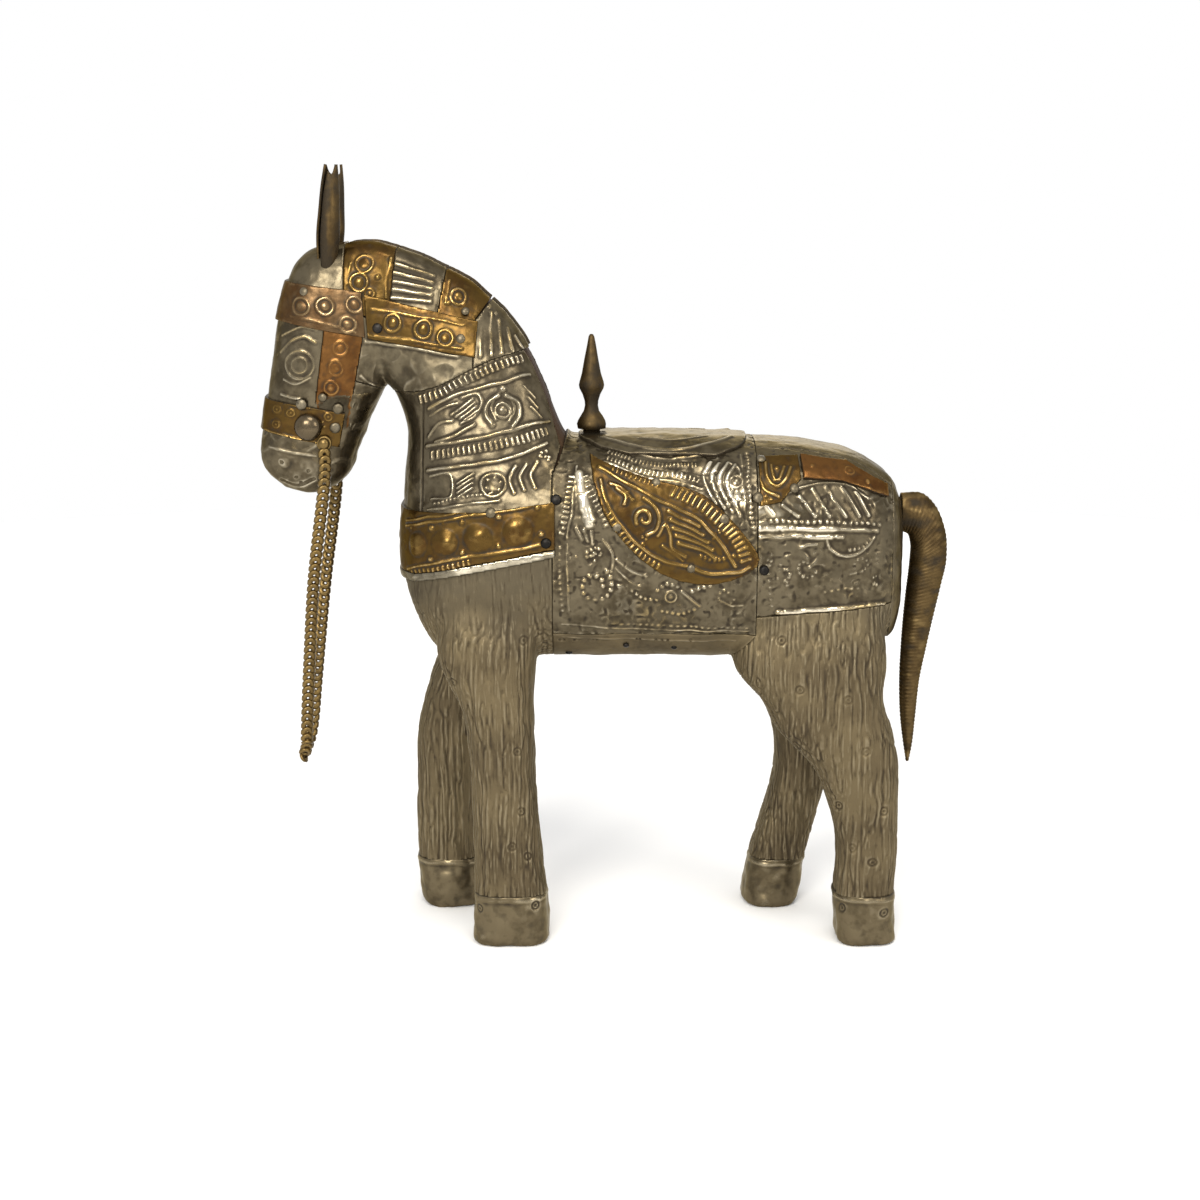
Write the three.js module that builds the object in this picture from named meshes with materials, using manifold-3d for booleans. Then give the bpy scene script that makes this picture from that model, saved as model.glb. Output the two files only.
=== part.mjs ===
// A carved wooden horse, clad in thin embossed metal sheets that are nailed to the wood.
// Millimetres, +Z up. The horse stands on z = 0 and faces -X, so its left side is -Y.
import * as THREE from "three";
import { mergeVertices } from "three/addons/utils/BufferGeometryUtils.js";
import Module from "manifold-3d";

const wasm = await Module();
wasm.setup();

// Driving dimensions of the carving, measured over the first layer of sheet
const BACK_HEIGHT = 131;
const BELLY_HEIGHT = 74;
const BODY_WIDTH = 50;
const NECK_WIDTH = 34;
const HEAD_WIDTH = 25;
const LEG_WIDTH = 17;
// From the side of the body in to the middle of a leg
const LEG_INSET = 9;

// Metal cladding
const SHEET = 0.5;
const CLEARANCE = 0.3;
const SEAM = 0.5;
const HOOF_HEIGHT = 13;
const SOLE_LIP = 0.4;
const BELLY_STRIP = 8;
const COLLAR_DEPTH = 15.5;
const SADDLE_GAP = 12;
const CROUP_CAP_WIDTH = 24;
const SEAT_WIDTH = 34;

// Tenons and pegs that hold the pieces in the carving
const TENON_RADIUS = 4;
const TENON_LENGTH = 22;
const TENON_FOOT = 7;
const FINIAL_PEG_RADIUS = 2.2;
const FINIAL_PEG_LENGTH = 12;
const TAIL_PEG_RADIUS = 2.4;
const TAIL_PEG_LENGTH = 12;
const EAR_PEG_RADIUS = 1.1;
const EAR_PEG_LENGTH = 9;
const NAIL_RADIUS = 0.8;
const NAIL_LENGTH = 7;

// Fittings
const FINIAL_X = -3.4;
const FINIAL_HEIGHT = 24.6;
const FINIAL_RADIUS = 3.7;
const EAR_X = -69.5;
const EAR_Y = 8.2;
const EAR_HEIGHT = 23;
const EAR_DEPTH = 4.4;
const EAR_WIDTH = 6.4;
const EAR_WALL = 0.9;
const STUD_X = -75.2;
const STUD_UP = 3;
const STUD_RADIUS = 3.5;
const STUD_DOME = 2.3;
const PIN_BEHIND_STUD = 4;
const PIN_BELOW_STUD = 4.1;
const PIN_HEAD_OVERHANG = 0.6;
const PIN_HEAD = 0.8;
const RING_WIRE = 0.45;
const RING_PLAY = 0.4;
const CHAIN_RADIUS = 1.45;

// Number of facets round each kind of piece
const BODY_SIDES = 16;
const NECK_SIDES = 14;
const LEG_SIDES = 10;
const ROUND_SIDES = 10;
const CHAIN_SIDES = 8;
const CHAIN_STEPS = 32;

const FINISHES = {
  wood: { color: 0x5c3a26, roughness: 0.75, metalness: 0 },
  white_metal: { color: 0x9b9384, roughness: 0.42, metalness: 0.9 },
  brass: { color: 0xa87a38, roughness: 0.4, metalness: 0.9 },
  copper: { color: 0x8a5528, roughness: 0.45, metalness: 0.9 },
  dark_bronze: { color: 0x5f503c, roughness: 0.5, metalness: 0.85 },
};

// Offsets from the drawn surface: the wood below it, the first layer of sheet, and the overlays
const WOOD = -(SHEET + CLEARANCE);
const LAYERS = {
  first: [-SHEET, 0],
  overlay: [CLEARANCE, CLEARANCE + SHEET],
};
const OVER_OVERLAY = LAYERS.overlay[1] + CLEARANCE;
const SIDES = { left: -1, right: 1 };
const HALF_SEAM = SEAM / 2;
// A distance that is past every surface of the horse
const PAST = BACK_HEIGHT;

const horse = new THREE.Group();

function solidOf(geometry) {
  const plain = geometry.clone();
  for (const name of Object.keys(plain.attributes)) {
    if (name !== "position") plain.deleteAttribute(name);
  }
  const merged = mergeVertices(plain, 1e-4);
  return new wasm.Manifold(
    new wasm.Mesh({
      numProp: 3,
      vertProperties: merged.attributes.position.array,
      triVerts: new Uint32Array(merged.index.array),
    }),
  );
}

// A cut can leave crumbs at a thin corner, so the main body of it is kept.
function mainBody(solid) {
  return solid.decompose().reduce((a, b) => (b.volume() > a.volume() ? b : a));
}

function add(name, finish, solid) {
  const shape = mainBody(solid).getMesh();
  const geometry = new THREE.BufferGeometry();
  geometry.setAttribute("position", new THREE.BufferAttribute(shape.vertProperties, 3));
  geometry.setIndex(new THREE.BufferAttribute(shape.triVerts, 1));
  geometry.computeVertexNormals();
  const mesh = new THREE.Mesh(geometry, new THREE.MeshStandardMaterial(FINISHES[finish]));
  mesh.name = name;
  horse.add(mesh);
  return mesh;
}

function signedVolume(points, faces) {
  const corner = (i) => new THREE.Vector3().fromArray(points, 3 * i);
  let sum = 0;
  for (let i = 0; i < faces.length; i += 3) {
    const [a, b, c] = [corner(faces[i]), corner(faces[i + 1]), corner(faces[i + 2])];
    sum += a.dot(b.cross(c));
  }
  return sum;
}

// A loft over rungs. A rung is a bar in the side view, from a to b as [x, z], with half its width across
// the horse and the y of its middle. Each section is a rounded box, and grow moves the surface outwards.
function loft(rungs, grow, sides, power = 3, flatEnd = false) {
  const bars = rungs.map(({ a, b, half, y = 0 }) => {
    const from = new THREE.Vector2(...a);
    const bar = new THREE.Vector2(...b).sub(from);
    const depth = bar.length() / 2;
    return { middle: from.addScaledVector(bar, 0.5), bar: bar.normalize(), depth, half, y };
  });
  const last = bars.length - 1;
  const points = [];
  bars.forEach((rung, i) => {
    const before = bars[Math.max(i - 1, 0)];
    const after = bars[Math.min(i + 1, last)];
    const run = after.middle.clone().sub(before.middle);
    const slope = (before.depth + before.half - after.depth - after.half) / 2 / run.length();
    const end = i === 0 ? -1 : flatEnd ? 0 : 1;
    const lean = i === 0 || i === last ? end : slope / Math.hypot(1, slope);
    const middle = rung.middle.clone().addScaledVector(run.normalize(), grow * lean);
    for (let k = 0; k < sides; k++) {
      const angle = (2 * Math.PI * (k + 0.5)) / sides;
      const rounded = (t) => Math.sign(t) * Math.abs(t) ** (2 / power);
      const reach = rounded(Math.cos(angle)) * (rung.depth + grow);
      const y = rung.y + rounded(Math.sin(angle)) * (rung.half + grow);
      points.push(middle.x + rung.bar.x * reach, y, middle.y + rung.bar.y * reach);
    }
  });
  const faces = [];
  for (let i = 0; i < last; i++) {
    for (let k = 0; k < sides; k++) {
      const [p, q] = [i * sides + k, i * sides + ((k + 1) % sides)];
      faces.push(p, q, q + sides, p, q + sides, p + sides);
    }
  }
  for (let k = 1; k < sides - 1; k++) {
    faces.push(0, k + 1, k);
    faces.push(last * sides, last * sides + k, last * sides + k + 1);
  }
  const geometry = new THREE.BufferGeometry();
  geometry.setAttribute("position", new THREE.Float32BufferAttribute(points, 3));
  geometry.setIndex(signedVolume(points, faces) > 0 ? faces : faces.reverse());
  return solidOf(geometry);
}

// A straight-sided block over a side-view outline, between two values of y
function slab(outline, from, to) {
  const shape = new THREE.Shape(outline.map(([x, z]) => new THREE.Vector2(x, z)));
  const geometry = new THREE.ExtrudeGeometry(shape, { depth: to - from, bevelEnabled: false });
  return solidOf(geometry.rotateX(Math.PI / 2).translate(0, to, 0));
}

// A turned piece: its profile is [radius, height] from the axis back to the axis.
function turned(profile, place) {
  const points = profile.map(([radius, height]) => new THREE.Vector2(radius, height));
  return solidOf(place(new THREE.LatheGeometry(points, ROUND_SIDES)));
}

const rod = (radius, from, to) => [
  [0, from],
  [radius, from],
  [radius, to],
  [0, to],
];
const upright = (x, y, z) => (g) => g.rotateX(Math.PI / 2).translate(x, y, z);

// Heights of the body, neck and head are measured up from the back line.
const up = (x, height) => [x, BACK_HEIGHT + height];
const rungOf = (width) => ([ax, az, bx, bz, fullness]) => ({
  a: up(ax, az),
  b: up(bx, bz),
  half: (width / 2) * fullness,
});

// x, drop of the top below the back, rise of the underside above the belly, fullness
const TORSO = [
  [-52, 19, 22, 0.46],
  [-49, 13, 12, 0.7],
  [-44, 7, 3, 0.87],
  [-34, 2, 0, 0.96],
  [-14, 0.5, 0, 1],
  [12, 0, 0, 1],
  [36, 0.8, 0, 1],
  [52, 1.8, 0.5, 0.99],
  [64, 4.6, 1.5, 0.93],
  [71, 8.6, 3.5, 0.82],
  [75, 13, 7, 0.66],
  [76.5, 18, 12, 0.5],
].map(([x, drop, rise, fullness]) => ({
  a: [x, BELLY_HEIGHT + rise],
  b: up(x, -drop),
  half: (BODY_WIDTH / 2) * fullness,
}));

// throat x and height, crest x and height, fullness
const NECK = [
  [-50, -42, 2, -16, 1.2],
  [-52.3, -29.4, -3, -4, 1.28],
  [-51.4, -9.6, -9, 0.3, 1.17],
  [-50.7, 2, -15.2, 15, 1],
  [-53.5, 10.5, -21.5, 27.5, 0.88],
  [-58, 16, -32, 38.4, 0.77],
  [-63, 21, -46, 46, 0.7],
  [-69, 29, -59, 49.4, 0.66],
].map(rungOf(NECK_WIDTH));

// face x and height, jaw x and height, fullness
const HEAD = [
  [-66, 49, -50, 31, 0.86],
  [-74.5, 47.2, -52.5, 23, 0.95],
  [-79, 43, -55.5, 15.2, 1],
  [-82.5, 33.5, -56.8, 11.5, 1.03],
  [-84.5, 23, -59.6, 6.5, 1],
  [-86.3, 11.5, -62.2, 0.6, 0.9],
  [-87.9, 1.5, -64.2, -5, 0.82],
  [-88.6, -6, -66.8, -10.8, 0.76],
  [-86.4, -10.4, -70, -13.2, 0.66],
  [-82, -13.8, -74.2, -15, 0.45],
].map(rungOf(HEAD_WIDTH));

// share of the belly height, front x, rear x, fullness; the right legs stride ahead of the left ones
const LEGS = {
  front_left: [
    [1.28, -40, -16, 0.82],
    [0.99, -42, -17.6, 1.08],
    [0.87, -37.6, -18.3, 1.08],
    [0.71, -35, -18.2, 1.02],
    [0.51, -34.4, -17.4, 0.97],
    [0.3, -34, -16.1, 0.97],
    [0.17, -34, -15.2, 1],
    [0, -34.1, -14.3, 1.04],
  ],
  front_right: [
    [1.28, -40, -16, 0.82],
    [0.99, -43, -19, 1.08],
    [0.92, -45.2, -23, 1.08],
    [0.77, -48.9, -29.5, 1.05],
    [0.67, -50.4, -32.8, 1],
    [0.51, -50.8, -34, 0.97],
    [0.2, -50.9, -34.4, 0.98],
    [0, -49.8, -32.6, 1.04],
  ],
  hind_left: [
    [1.26, 40, 70, 0.82],
    [0.98, 33.6, 72.2, 1.1],
    [0.87, 40.5, 71.6, 1.12],
    [0.76, 44.5, 74.2, 1.1],
    [0.67, 51.6, 75.7, 1.04],
    [0.52, 57.6, 76, 0.98],
    [0.31, 60.3, 75.9, 0.95],
    [0.18, 60, 75.5, 0.98],
    [0, 60.8, 76, 1.04],
  ],
  hind_right: [
    [1.26, 40, 70, 0.82],
    [0.98, 33.6, 72.2, 1.1],
    [0.85, 40.2, 70.6, 1.12],
    [0.72, 44.6, 67.6, 1.06],
    [0.57, 46.6, 63, 1],
    [0.41, 44.7, 59.4, 0.96],
    [0.26, 41.4, 56.4, 0.96],
    [0.15, 39.3, 54.4, 0.98],
    [0, 38, 53, 1.04],
  ],
};
const LEG_NAMES = Object.keys(LEGS);
const legSide = (name) => SIDES[name.split("_")[1]];
const legY = (name) => legSide(name) * (BODY_WIDTH / 2 - LEG_INSET);

function legLoft(name, grow) {
  const rungs = LEGS[name].map(([share, front, rear, fullness]) => ({
    a: [front, share * BELLY_HEIGHT],
    b: [rear, share * BELLY_HEIGHT],
    half: (LEG_WIDTH / 2) * fullness,
    y: legY(name),
  }));
  return loft(rungs, grow, LEG_SIDES, 3, true);
}

function trunk(grow) {
  const neck = loft(NECK, grow, NECK_SIDES);
  return loft(TORSO, grow, BODY_SIDES).add(neck).add(loft(HEAD, grow, NECK_SIDES));
}

const whole = (grow) => LEG_NAMES.reduce((sum, name) => sum.add(legLoft(name, grow)), trunk(grow));
const skin = ([inner, outer]) => whole(outer).subtract(whole(inner));
const SKINS = { first: skin(LAYERS.first), overlay: skin(LAYERS.overlay) };

// Holes go through wood and sheets alike, each a clearance wider than what stands in it.
const holes = [];
const drilled = (solid) => holes.reduce((left, hole) => left.subtract(hole), solid);

// A leg stands in the body on a round tenon, under the middle of its top.
function tenon(name, grow) {
  const [, [, front, rear]] = LEGS[name];
  const profile = rod(TENON_RADIUS + grow, BELLY_HEIGHT - TENON_FOOT, BELLY_HEIGHT + TENON_LENGTH + grow);
  return turned(profile, upright((front + rear) / 2, legY(name), 0));
}

function wood() {
  const carving = LEG_NAMES.reduce((left, name) => left.subtract(tenon(name, CLEARANCE)), trunk(WOOD));
  add("wooden_body", "wood", drilled(carving));
  const shoulder = trunk(WOOD + CLEARANCE);
  for (const name of LEG_NAMES) {
    const post = mainBody(legLoft(name, WOOD).subtract(shoulder));
    add("leg_" + name, "wood", post.add(tenon(name, 0)));
  }
}

// The finial stands on the withers, in front of the seat, with its peg in the back.
const finialPlace = upright(FINIAL_X, 0, BACK_HEIGHT + OVER_OVERLAY);
const finialHole = rod(FINIAL_PEG_RADIUS + CLEARANCE, -FINIAL_PEG_LENGTH - CLEARANCE, FINIAL_HEIGHT);
holes.push(turned(finialHole, finialPlace));

// share of the finial's radius and of its height, from the bell at its foot to the tip of the bud
const FINIAL_TURNING = [
  [0.97, 0.01],
  [1, 0.06],
  [0.84, 0.11],
  [0.51, 0.2],
  [0.46, 0.29],
  [0.62, 0.37],
  [0.86, 0.44],
  [0.86, 0.48],
  [0.68, 0.59],
  [0.46, 0.75],
  [0.3, 0.89],
  [0.2, 0.98],
];

function finial() {
  const bud = FINIAL_TURNING.map(([r, h]) => [r * FINIAL_RADIUS, h * FINIAL_HEIGHT]);
  const peg = rod(FINIAL_PEG_RADIUS, -FINIAL_PEG_LENGTH, 0).slice(0, 3);
  add("finial", "dark_bronze", turned([...peg, ...bud, [0, FINIAL_HEIGHT]], finialPlace));
}

// The tail curves out of the rump and hangs clear of it.
// inner x and height, outer x and height, half width
const TAIL = [
  [77, -25.5, 77, -15.5, 3.6],
  [79.2, -26.5, 82.6, -15.6, 4],
  [79.9, -29, 86, -18.6, 4.4],
  [79.9, -32, 88.8, -25, 4.7],
  [79.6, -36, 89.4, -32.6, 4.7],
  [79, -42, 88.2, -39.4, 4.5],
  [78.5, -48.5, 86.6, -47, 4.1],
  [78.1, -56, 84.9, -55.6, 3.5],
  [77.9, -65, 83.2, -65, 2.8],
  [78.4, -75.5, 82.3, -75.5, 2.1],
  [79.5, -83.5, 81.6, -83.5, 1.2],
  [80.2, -87.6, 80.9, -87.6, 0.4],
].map(rungOf(2));
const tailRoot = { x: TAIL[0].a[0], z: (TAIL[0].a[1] + TAIL[0].b[1]) / 2 };

function tailPeg(grow) {
  const profile = rod(TAIL_PEG_RADIUS + grow, -TAIL_PEG_LENGTH - grow, TAIL_PEG_RADIUS);
  return turned(profile, (g) => g.rotateZ(-Math.PI / 2).translate(tailRoot.x, 0, tailRoot.z));
}
holes.push(tailPeg(CLEARANCE));

// An ear is a tall leaf rolled from sheet, open to its side, on a peg in the top of the head.
const EAR_SEAT = 45.4;
// share of the ear's height above its seat, fullness
const EAR_LEAF = [
  [-0.12, 0.75],
  [0.05, 0.9],
  [0.3, 1],
  [0.6, 0.85],
  [0.85, 0.5],
  [1, 0.16],
];
const LEAST_HALF = 0.1;

function earLeaf(side, thinner, outwards) {
  const rungs = EAR_LEAF.map(([share, fullness]) => {
    const height = EAR_SEAT + share * EAR_HEIGHT;
    const depth = Math.max((EAR_DEPTH / 2) * fullness - thinner, LEAST_HALF);
    const half = Math.max((EAR_WIDTH / 2) * fullness - thinner, LEAST_HALF);
    const y = side * (EAR_Y + outwards);
    return { a: up(EAR_X - depth, height), b: up(EAR_X + depth, height), half, y };
  });
  return loft(rungs, 0, ROUND_SIDES, 2.2);
}

function earPeg(side, grow) {
  const profile = rod(EAR_PEG_RADIUS + grow, -EAR_PEG_LENGTH - grow, EAR_DEPTH);
  return turned(profile, upright(EAR_X, side * (EAR_Y - EAR_WIDTH / 4), BACK_HEIGHT + EAR_SEAT));
}

// Dome studs and rein pins stand out sideways from the noseband, on nails in the head.
const PIN_X = STUD_X + PIN_BEHIND_STUD;
const PIN_UP = STUD_UP - PIN_BELOW_STUD;
const RING_RADIUS = NAIL_RADIUS + CLEARANCE + RING_WIRE;
const PIN_REACH = 2 * (RING_PLAY + RING_WIRE);

// The side of the head at a height, clear of the overlays
function headSide(height) {
  const rungs = HEAD.map(({ a, b, half }) => [(a[1] + b[1]) / 2 - BACK_HEIGHT, half]);
  const lower = rungs.findIndex(([middle]) => middle <= height);
  const [[z0, w0], [z1, w1]] = [rungs[lower], rungs[lower - 1]];
  return w0 + ((w1 - w0) * (height - z0)) / (z1 - z0) + OVER_OVERLAY;
}
const PIN_SEAT = headSide(PIN_UP);
const RING_Y = PIN_SEAT + RING_PLAY + RING_WIRE;

function sideways(side, x, height) {
  const y = side * headSide(height);
  return (g) => (side < 0 ? g.rotateZ(Math.PI) : g).translate(x, y, BACK_HEIGHT + height);
}
const studPlace = (side) => sideways(side, STUD_X, STUD_UP);
const pinPlace = (side) => sideways(side, PIN_X, PIN_UP);

const nailHole = rod(NAIL_RADIUS + CLEARANCE, -NAIL_LENGTH - CLEARANCE, STUD_DOME);
for (const side of Object.values(SIDES)) {
  holes.push(earPeg(side, CLEARANCE));
  holes.push(turned(nailHole, studPlace(side)));
  holes.push(turned(nailHole, pinPlace(side)));
}

function stud(side) {
  const dome = [
    [0, -SHEET],
    [STUD_RADIUS, -SHEET],
    [STUD_RADIUS, 0.2 * STUD_DOME],
    [0.82 * STUD_RADIUS, 0.66 * STUD_DOME],
    [0.48 * STUD_RADIUS, 0.92 * STUD_DOME],
    [0, STUD_DOME],
  ];
  const nail = turned(rod(NAIL_RADIUS, -NAIL_LENGTH, STUD_DOME / 2), studPlace(side));
  return turned(dome, studPlace(side)).subtract(whole(OVER_OVERLAY)).add(nail);
}

function pin(side) {
  const head = NAIL_RADIUS + PIN_HEAD_OVERHANG;
  const profile = [
    ...rod(NAIL_RADIUS, -NAIL_LENGTH, PIN_REACH).slice(0, 3),
    [head, PIN_REACH],
    [0.7 * head, PIN_REACH + PIN_HEAD],
    [0, PIN_REACH + PIN_HEAD],
  ];
  return turned(profile, pinPlace(side));
}

// The rein is one loop of chain. Its ends are rings on the pins, and its strands draw together below.
// Route of the left strand from the pin: behind it, out from the horse's middle, below it
const STRAND = [
  [0.1, 13.1, 5.9],
  [-0.7, 13.1, 12.9],
  [-1.8, 13, 19.9],
  [-3.1, 11.9, 27.9],
  [-4.3, 10.2, 35.9],
  [-5.2, 8.6, 43.9],
  [-5.9, 7.2, 51.9],
  [-6.5, 6.2, 59.9],
  [-7, 5.5, 67.9],
  [-7.3, 5, 74.9],
  [-7.5, 3.9, 79.5],
  [-7.6, 2, 81.7],
];
const LOOP_END = [-7.6, 0, 82.3];

function reinChain() {
  const point = (side) => ([behind, out, drop]) =>
    new THREE.Vector3(PIN_X + behind, side * out, BACK_HEIGHT + PIN_UP - drop);
  const strand = [[0, STRAND[0][1], RING_RADIUS + RING_WIRE / 2], ...STRAND];
  const near = strand.map(point(SIDES.left));
  const far = strand.map(point(SIDES.right)).reverse();
  const route = new THREE.CatmullRomCurve3([...near, point(0)(LOOP_END), ...far]);
  const corner = (k) => (2 * Math.PI * k) / CHAIN_SIDES;
  const section = Array.from({ length: CHAIN_SIDES }, (_, k) =>
    new THREE.Vector2(CHAIN_RADIUS * Math.cos(corner(k)), CHAIN_RADIUS * Math.sin(corner(k))),
  );
  const options = { steps: CHAIN_STEPS, extrudePath: route };
  const tube = solidOf(new THREE.ExtrudeGeometry(new THREE.Shape(section), options));
  return Object.values(SIDES).reduce((sum, side) => {
    const ring = new THREE.TorusGeometry(RING_RADIUS, RING_WIRE, 6, ROUND_SIDES).rotateX(Math.PI / 2);
    return sum.add(solidOf(ring.translate(PIN_X, side * RING_Y, BACK_HEIGHT + PIN_UP)));
  }, tube);
}

// Borders that sheets share, in the side view, as [x, height above the back line]
const raise = (line, by) => line.map(([x, z]) => [x, z + by]);
const backwards = (line) => [...line].reverse();
const heightOn = ([[x0, z0], [x1, z1]], x) => z0 + ((z1 - z0) * (x - x0)) / (x1 - x0);

const BARREL_FRONT = -13;
const BARREL_REAR = 38;
const RUMP_SEAM = 72.8;
const CREST_REAR = -9;
// The bare wood along the crest, from plate to plate
const CREST_STRIP = 10;
const BELLY_TOP = BELLY_HEIGHT + BELLY_STRIP - BACK_HEIGHT;
const HOOF_TOP = HOOF_HEIGHT - BACK_HEIGHT;
const BELLY_REAR = [31, BELLY_TOP - 7];
const UNDER_BELLY = BELLY_TOP - 22;
const COLLAR_TOP = [
  [-PAST, -20],
  [-31.5, -17.2],
  [BARREL_FRONT + SEAM, -14.6],
];
const HAUNCH = [
  [BARREL_REAR + SEAM, BELLY_TOP + 4.8],
  [RUMP_SEAM, BELLY_TOP + 7.6],
];
const RUMP_FOOT = BELLY_TOP - 4;
const NECK_TOP = [
  [-70, 11],
  [-55.5, 11.2],
  [-47, 11.9],
  [-41.5, 13.6],
  [-33.5, 17.7],
  [-28.9, 19.9],
  [-20.6, 22.3],
];
const STRAP_MIDDLE = [
  [-60.6, 31],
  [-32.9, 25],
];
const BROW_MIDDLE = [
  [-PAST, 41.1],
  [-80.3, 34.3],
];
const NOSE_MIDDLE = [
  [-PAST, 14],
  [-86, 5.7],
];
const NOSE_REAR = [
  [-86, 5.7],
  [-66.8, 2.1],
];
const strapTop = (x) => [x, heightOn(STRAP_MIDDLE, x) + HALF_SEAM];
const noseAt = (x, shift) => [x, heightOn(NOSE_REAR, x) + shift];

// The middle line under the collar, where the neck and leg sheets end
const underCollar = (shift) =>
  raise(COLLAR_TOP, shift - COLLAR_DEPTH / 2).map(([x, z]) => [Math.min(x, BARREL_FRONT - SEAM), z]);

const FIRST = {
  forehead_sheet: [
    ...raise(BROW_MIDDLE, HALF_SEAM), [-68, 32.6], [-65.9, 32.2], [-65.9, PAST], [-PAST, PAST],
  ],
  face_plate: [
    ...raise(BROW_MIDDLE, -HALF_SEAM), [-70.2, 32], noseAt(-74.3, HALF_SEAM),
    ...backwards(raise(NOSE_MIDDLE, HALF_SEAM)),
  ],
  jaw_sheet: [
    [-62.8, 14.2], [-56.9, 12.2], [-58, 6], [-61, -3], [-64, -10], [-68, -17], [-73, -17], [-71, -2.3],
    noseAt(-69.6, 0), noseAt(-64.9, 0), [-64.1, 6.9],
  ],
  muzzle_cap: [
    ...raise(NOSE_MIDDLE, -HALF_SEAM), noseAt(-70.1, -HALF_SEAM), [-71.5, -2.4], [-73.5, -17],
    [-73.5, -PAST / 2], [-PAST, -PAST / 2],
  ],
  throat_sheet: [
    [-60.7, 30.5], [-33.3, 24.5], ...backwards(raise(NECK_TOP.slice(1, 5), SEAM)), [-56.7, 12.7],
    [-62.6, 14.8], [-60.7, 25.4],
  ],
  neck_sheet: [
    ...underCollar(HALF_SEAM), [BARREL_FRONT - SEAM, -8], [-11.3, -1.5], [-14.2, 8.2], [-18.3, 18.3],
    ...backwards(NECK_TOP),
  ],
  belly_sheet: [
    [BARREL_FRONT, BELLY_TOP], [BARREL_REAR, BELLY_TOP], BELLY_REAR, [BELLY_REAR[0], UNDER_BELLY],
    [BARREL_FRONT, UNDER_BELLY],
  ],
  rump_plate: [
    [RUMP_SEAM + SEAM, RUMP_FOOT + SEAM], [PAST, RUMP_FOOT + SEAM], [PAST, PAST], [RUMP_SEAM + SEAM, PAST],
  ],
};

const FIRST_PAIRS = {
  poll_plate: ["brass", [strapTop(-65.4), strapTop(-54.7), [-52.3, 51.6], [-65.4, 53]]],
  ribbed_plate: [
    "white_metal",
    [strapTop(-54.2), strapTop(-43.1), [-39.7, 45.3], [-44, 49.5], [-51.8, 51.5]],
  ],
  crest_plate: [
    "brass",
    [strapTop(-42.6), strapTop(-33.4), [-33.4, 29.5], [-26.9, 38.2], [-33, 44], [-39.2, 45]],
  ],
  ray_plate: [
    "white_metal",
    [[-32.9, 18.6], [-28.6, 20.5], [-16.8, 23.8], [-20, 32], [-26.1, 37.4], [-32.9, 29.2]],
  ],
  cheek_strap: [
    "copper",
    [[-69.7, 32], [-61.2, 30.4], [-61.2, 25.5], [-64.6, 7], noseAt(-65.4, HALF_SEAM),
      noseAt(-73.8, HALF_SEAM)],
  ],
};

const BARREL = [
  [BARREL_FRONT, BELLY_TOP + SEAM], [BARREL_REAR, BELLY_TOP + SEAM], [BARREL_REAR, PAST],
  [CREST_REAR, PAST], [CREST_REAR, 1], [BARREL_FRONT, -8],
];
const CROUP = [...raise(HAUNCH, SEAM), [RUMP_SEAM, PAST], [BARREL_REAR + SEAM, PAST]];

const LEG_SHEETS = {
  front: [
    ...underCollar(-HALF_SEAM), [BARREL_FRONT - SEAM, UNDER_BELLY], [0, UNDER_BELLY],
    [0, HOOF_TOP + SEAM], [-PAST, HOOF_TOP + SEAM],
  ],
  hind: [
    ...HAUNCH, [RUMP_SEAM, RUMP_FOOT], [PAST, RUMP_FOOT], [PAST, HOOF_TOP + SEAM], [0, HOOF_TOP + SEAM],
    [0, UNDER_BELLY - SEAM], [BELLY_REAR[0] + SEAM, UNDER_BELLY - SEAM],
    [BELLY_REAR[0] + SEAM, BELLY_REAR[1]], [BARREL_REAR + SEAM, BELLY_TOP],
  ],
};
const HOOF_SPAN = { front: [-PAST, 0], hind: [0, PAST] };

const OVERLAYS = {
  browband: [
    "copper",
    [[-PAST, 45.9], [-79.3, 39.2], [-65.1, 37.5], [-61, 36.8], [-60.4, 25.6], [-71.5, 27.5], [-81.3, 29.5],
      [-PAST, 36]],
  ],
  noseband: [
    "brass",
    [[-PAST, 17.8], [-85.3, 9.8], [-65.9, 6.5], [-67.8, -2.3], [-86.6, 1.6], [-PAST, 10.5]],
  ],
  chest_collar: ["brass", [...COLLAR_TOP, ...backwards(raise(COLLAR_TOP, -COLLAR_DEPTH))]],
};

// The leaf-shaped saddle flap is one smooth curve through these points.
const FLAP_POINTS = [
  [-3.8, -3.4], [0.3, -5.4], [11.2, -9], [24.8, -12.8], [36.2, -24.1], [38.2, -30.5], [27.5, -35.1],
  [13.9, -32.3], [1.8, -20.8], [-2.9, -9.5],
];
const curve = (line) => new THREE.SplineCurve(line.map(([x, z]) => new THREE.Vector2(x, z)));
const OVERLAY_PAIRS = {
  throat_strap: ["brass", [[-60.4, 36.4], [-31.9, 29.6], [-32.6, 20.7], [-59.8, 25.4]]],
  saddle_flap: ["brass", curve(FLAP_POINTS).getPoints(24).map((p) => [p.x, p.y])],
  croup_scroll: ["brass", [[38.6, -4.2], [48.6, -4], [49.2, -9], [44, -14.5], [38.8, -15.6]]],
  croup_strip: [
    "copper",
    [[49.3, -3.8], [60.7, -5.6], [71.5, -11.6], [71.5, -14.2], [59.5, -9.8], [49.8, -8.9]],
  ],
};
const SEAT = [
  [-6.8, -0.2], [-1.2, -1.9], [8.9, -3.9], [21.6, -5.6], [33, -2.4], [36.4, -0.9], [36.4, PAST], [-6.8, PAST],
];

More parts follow.
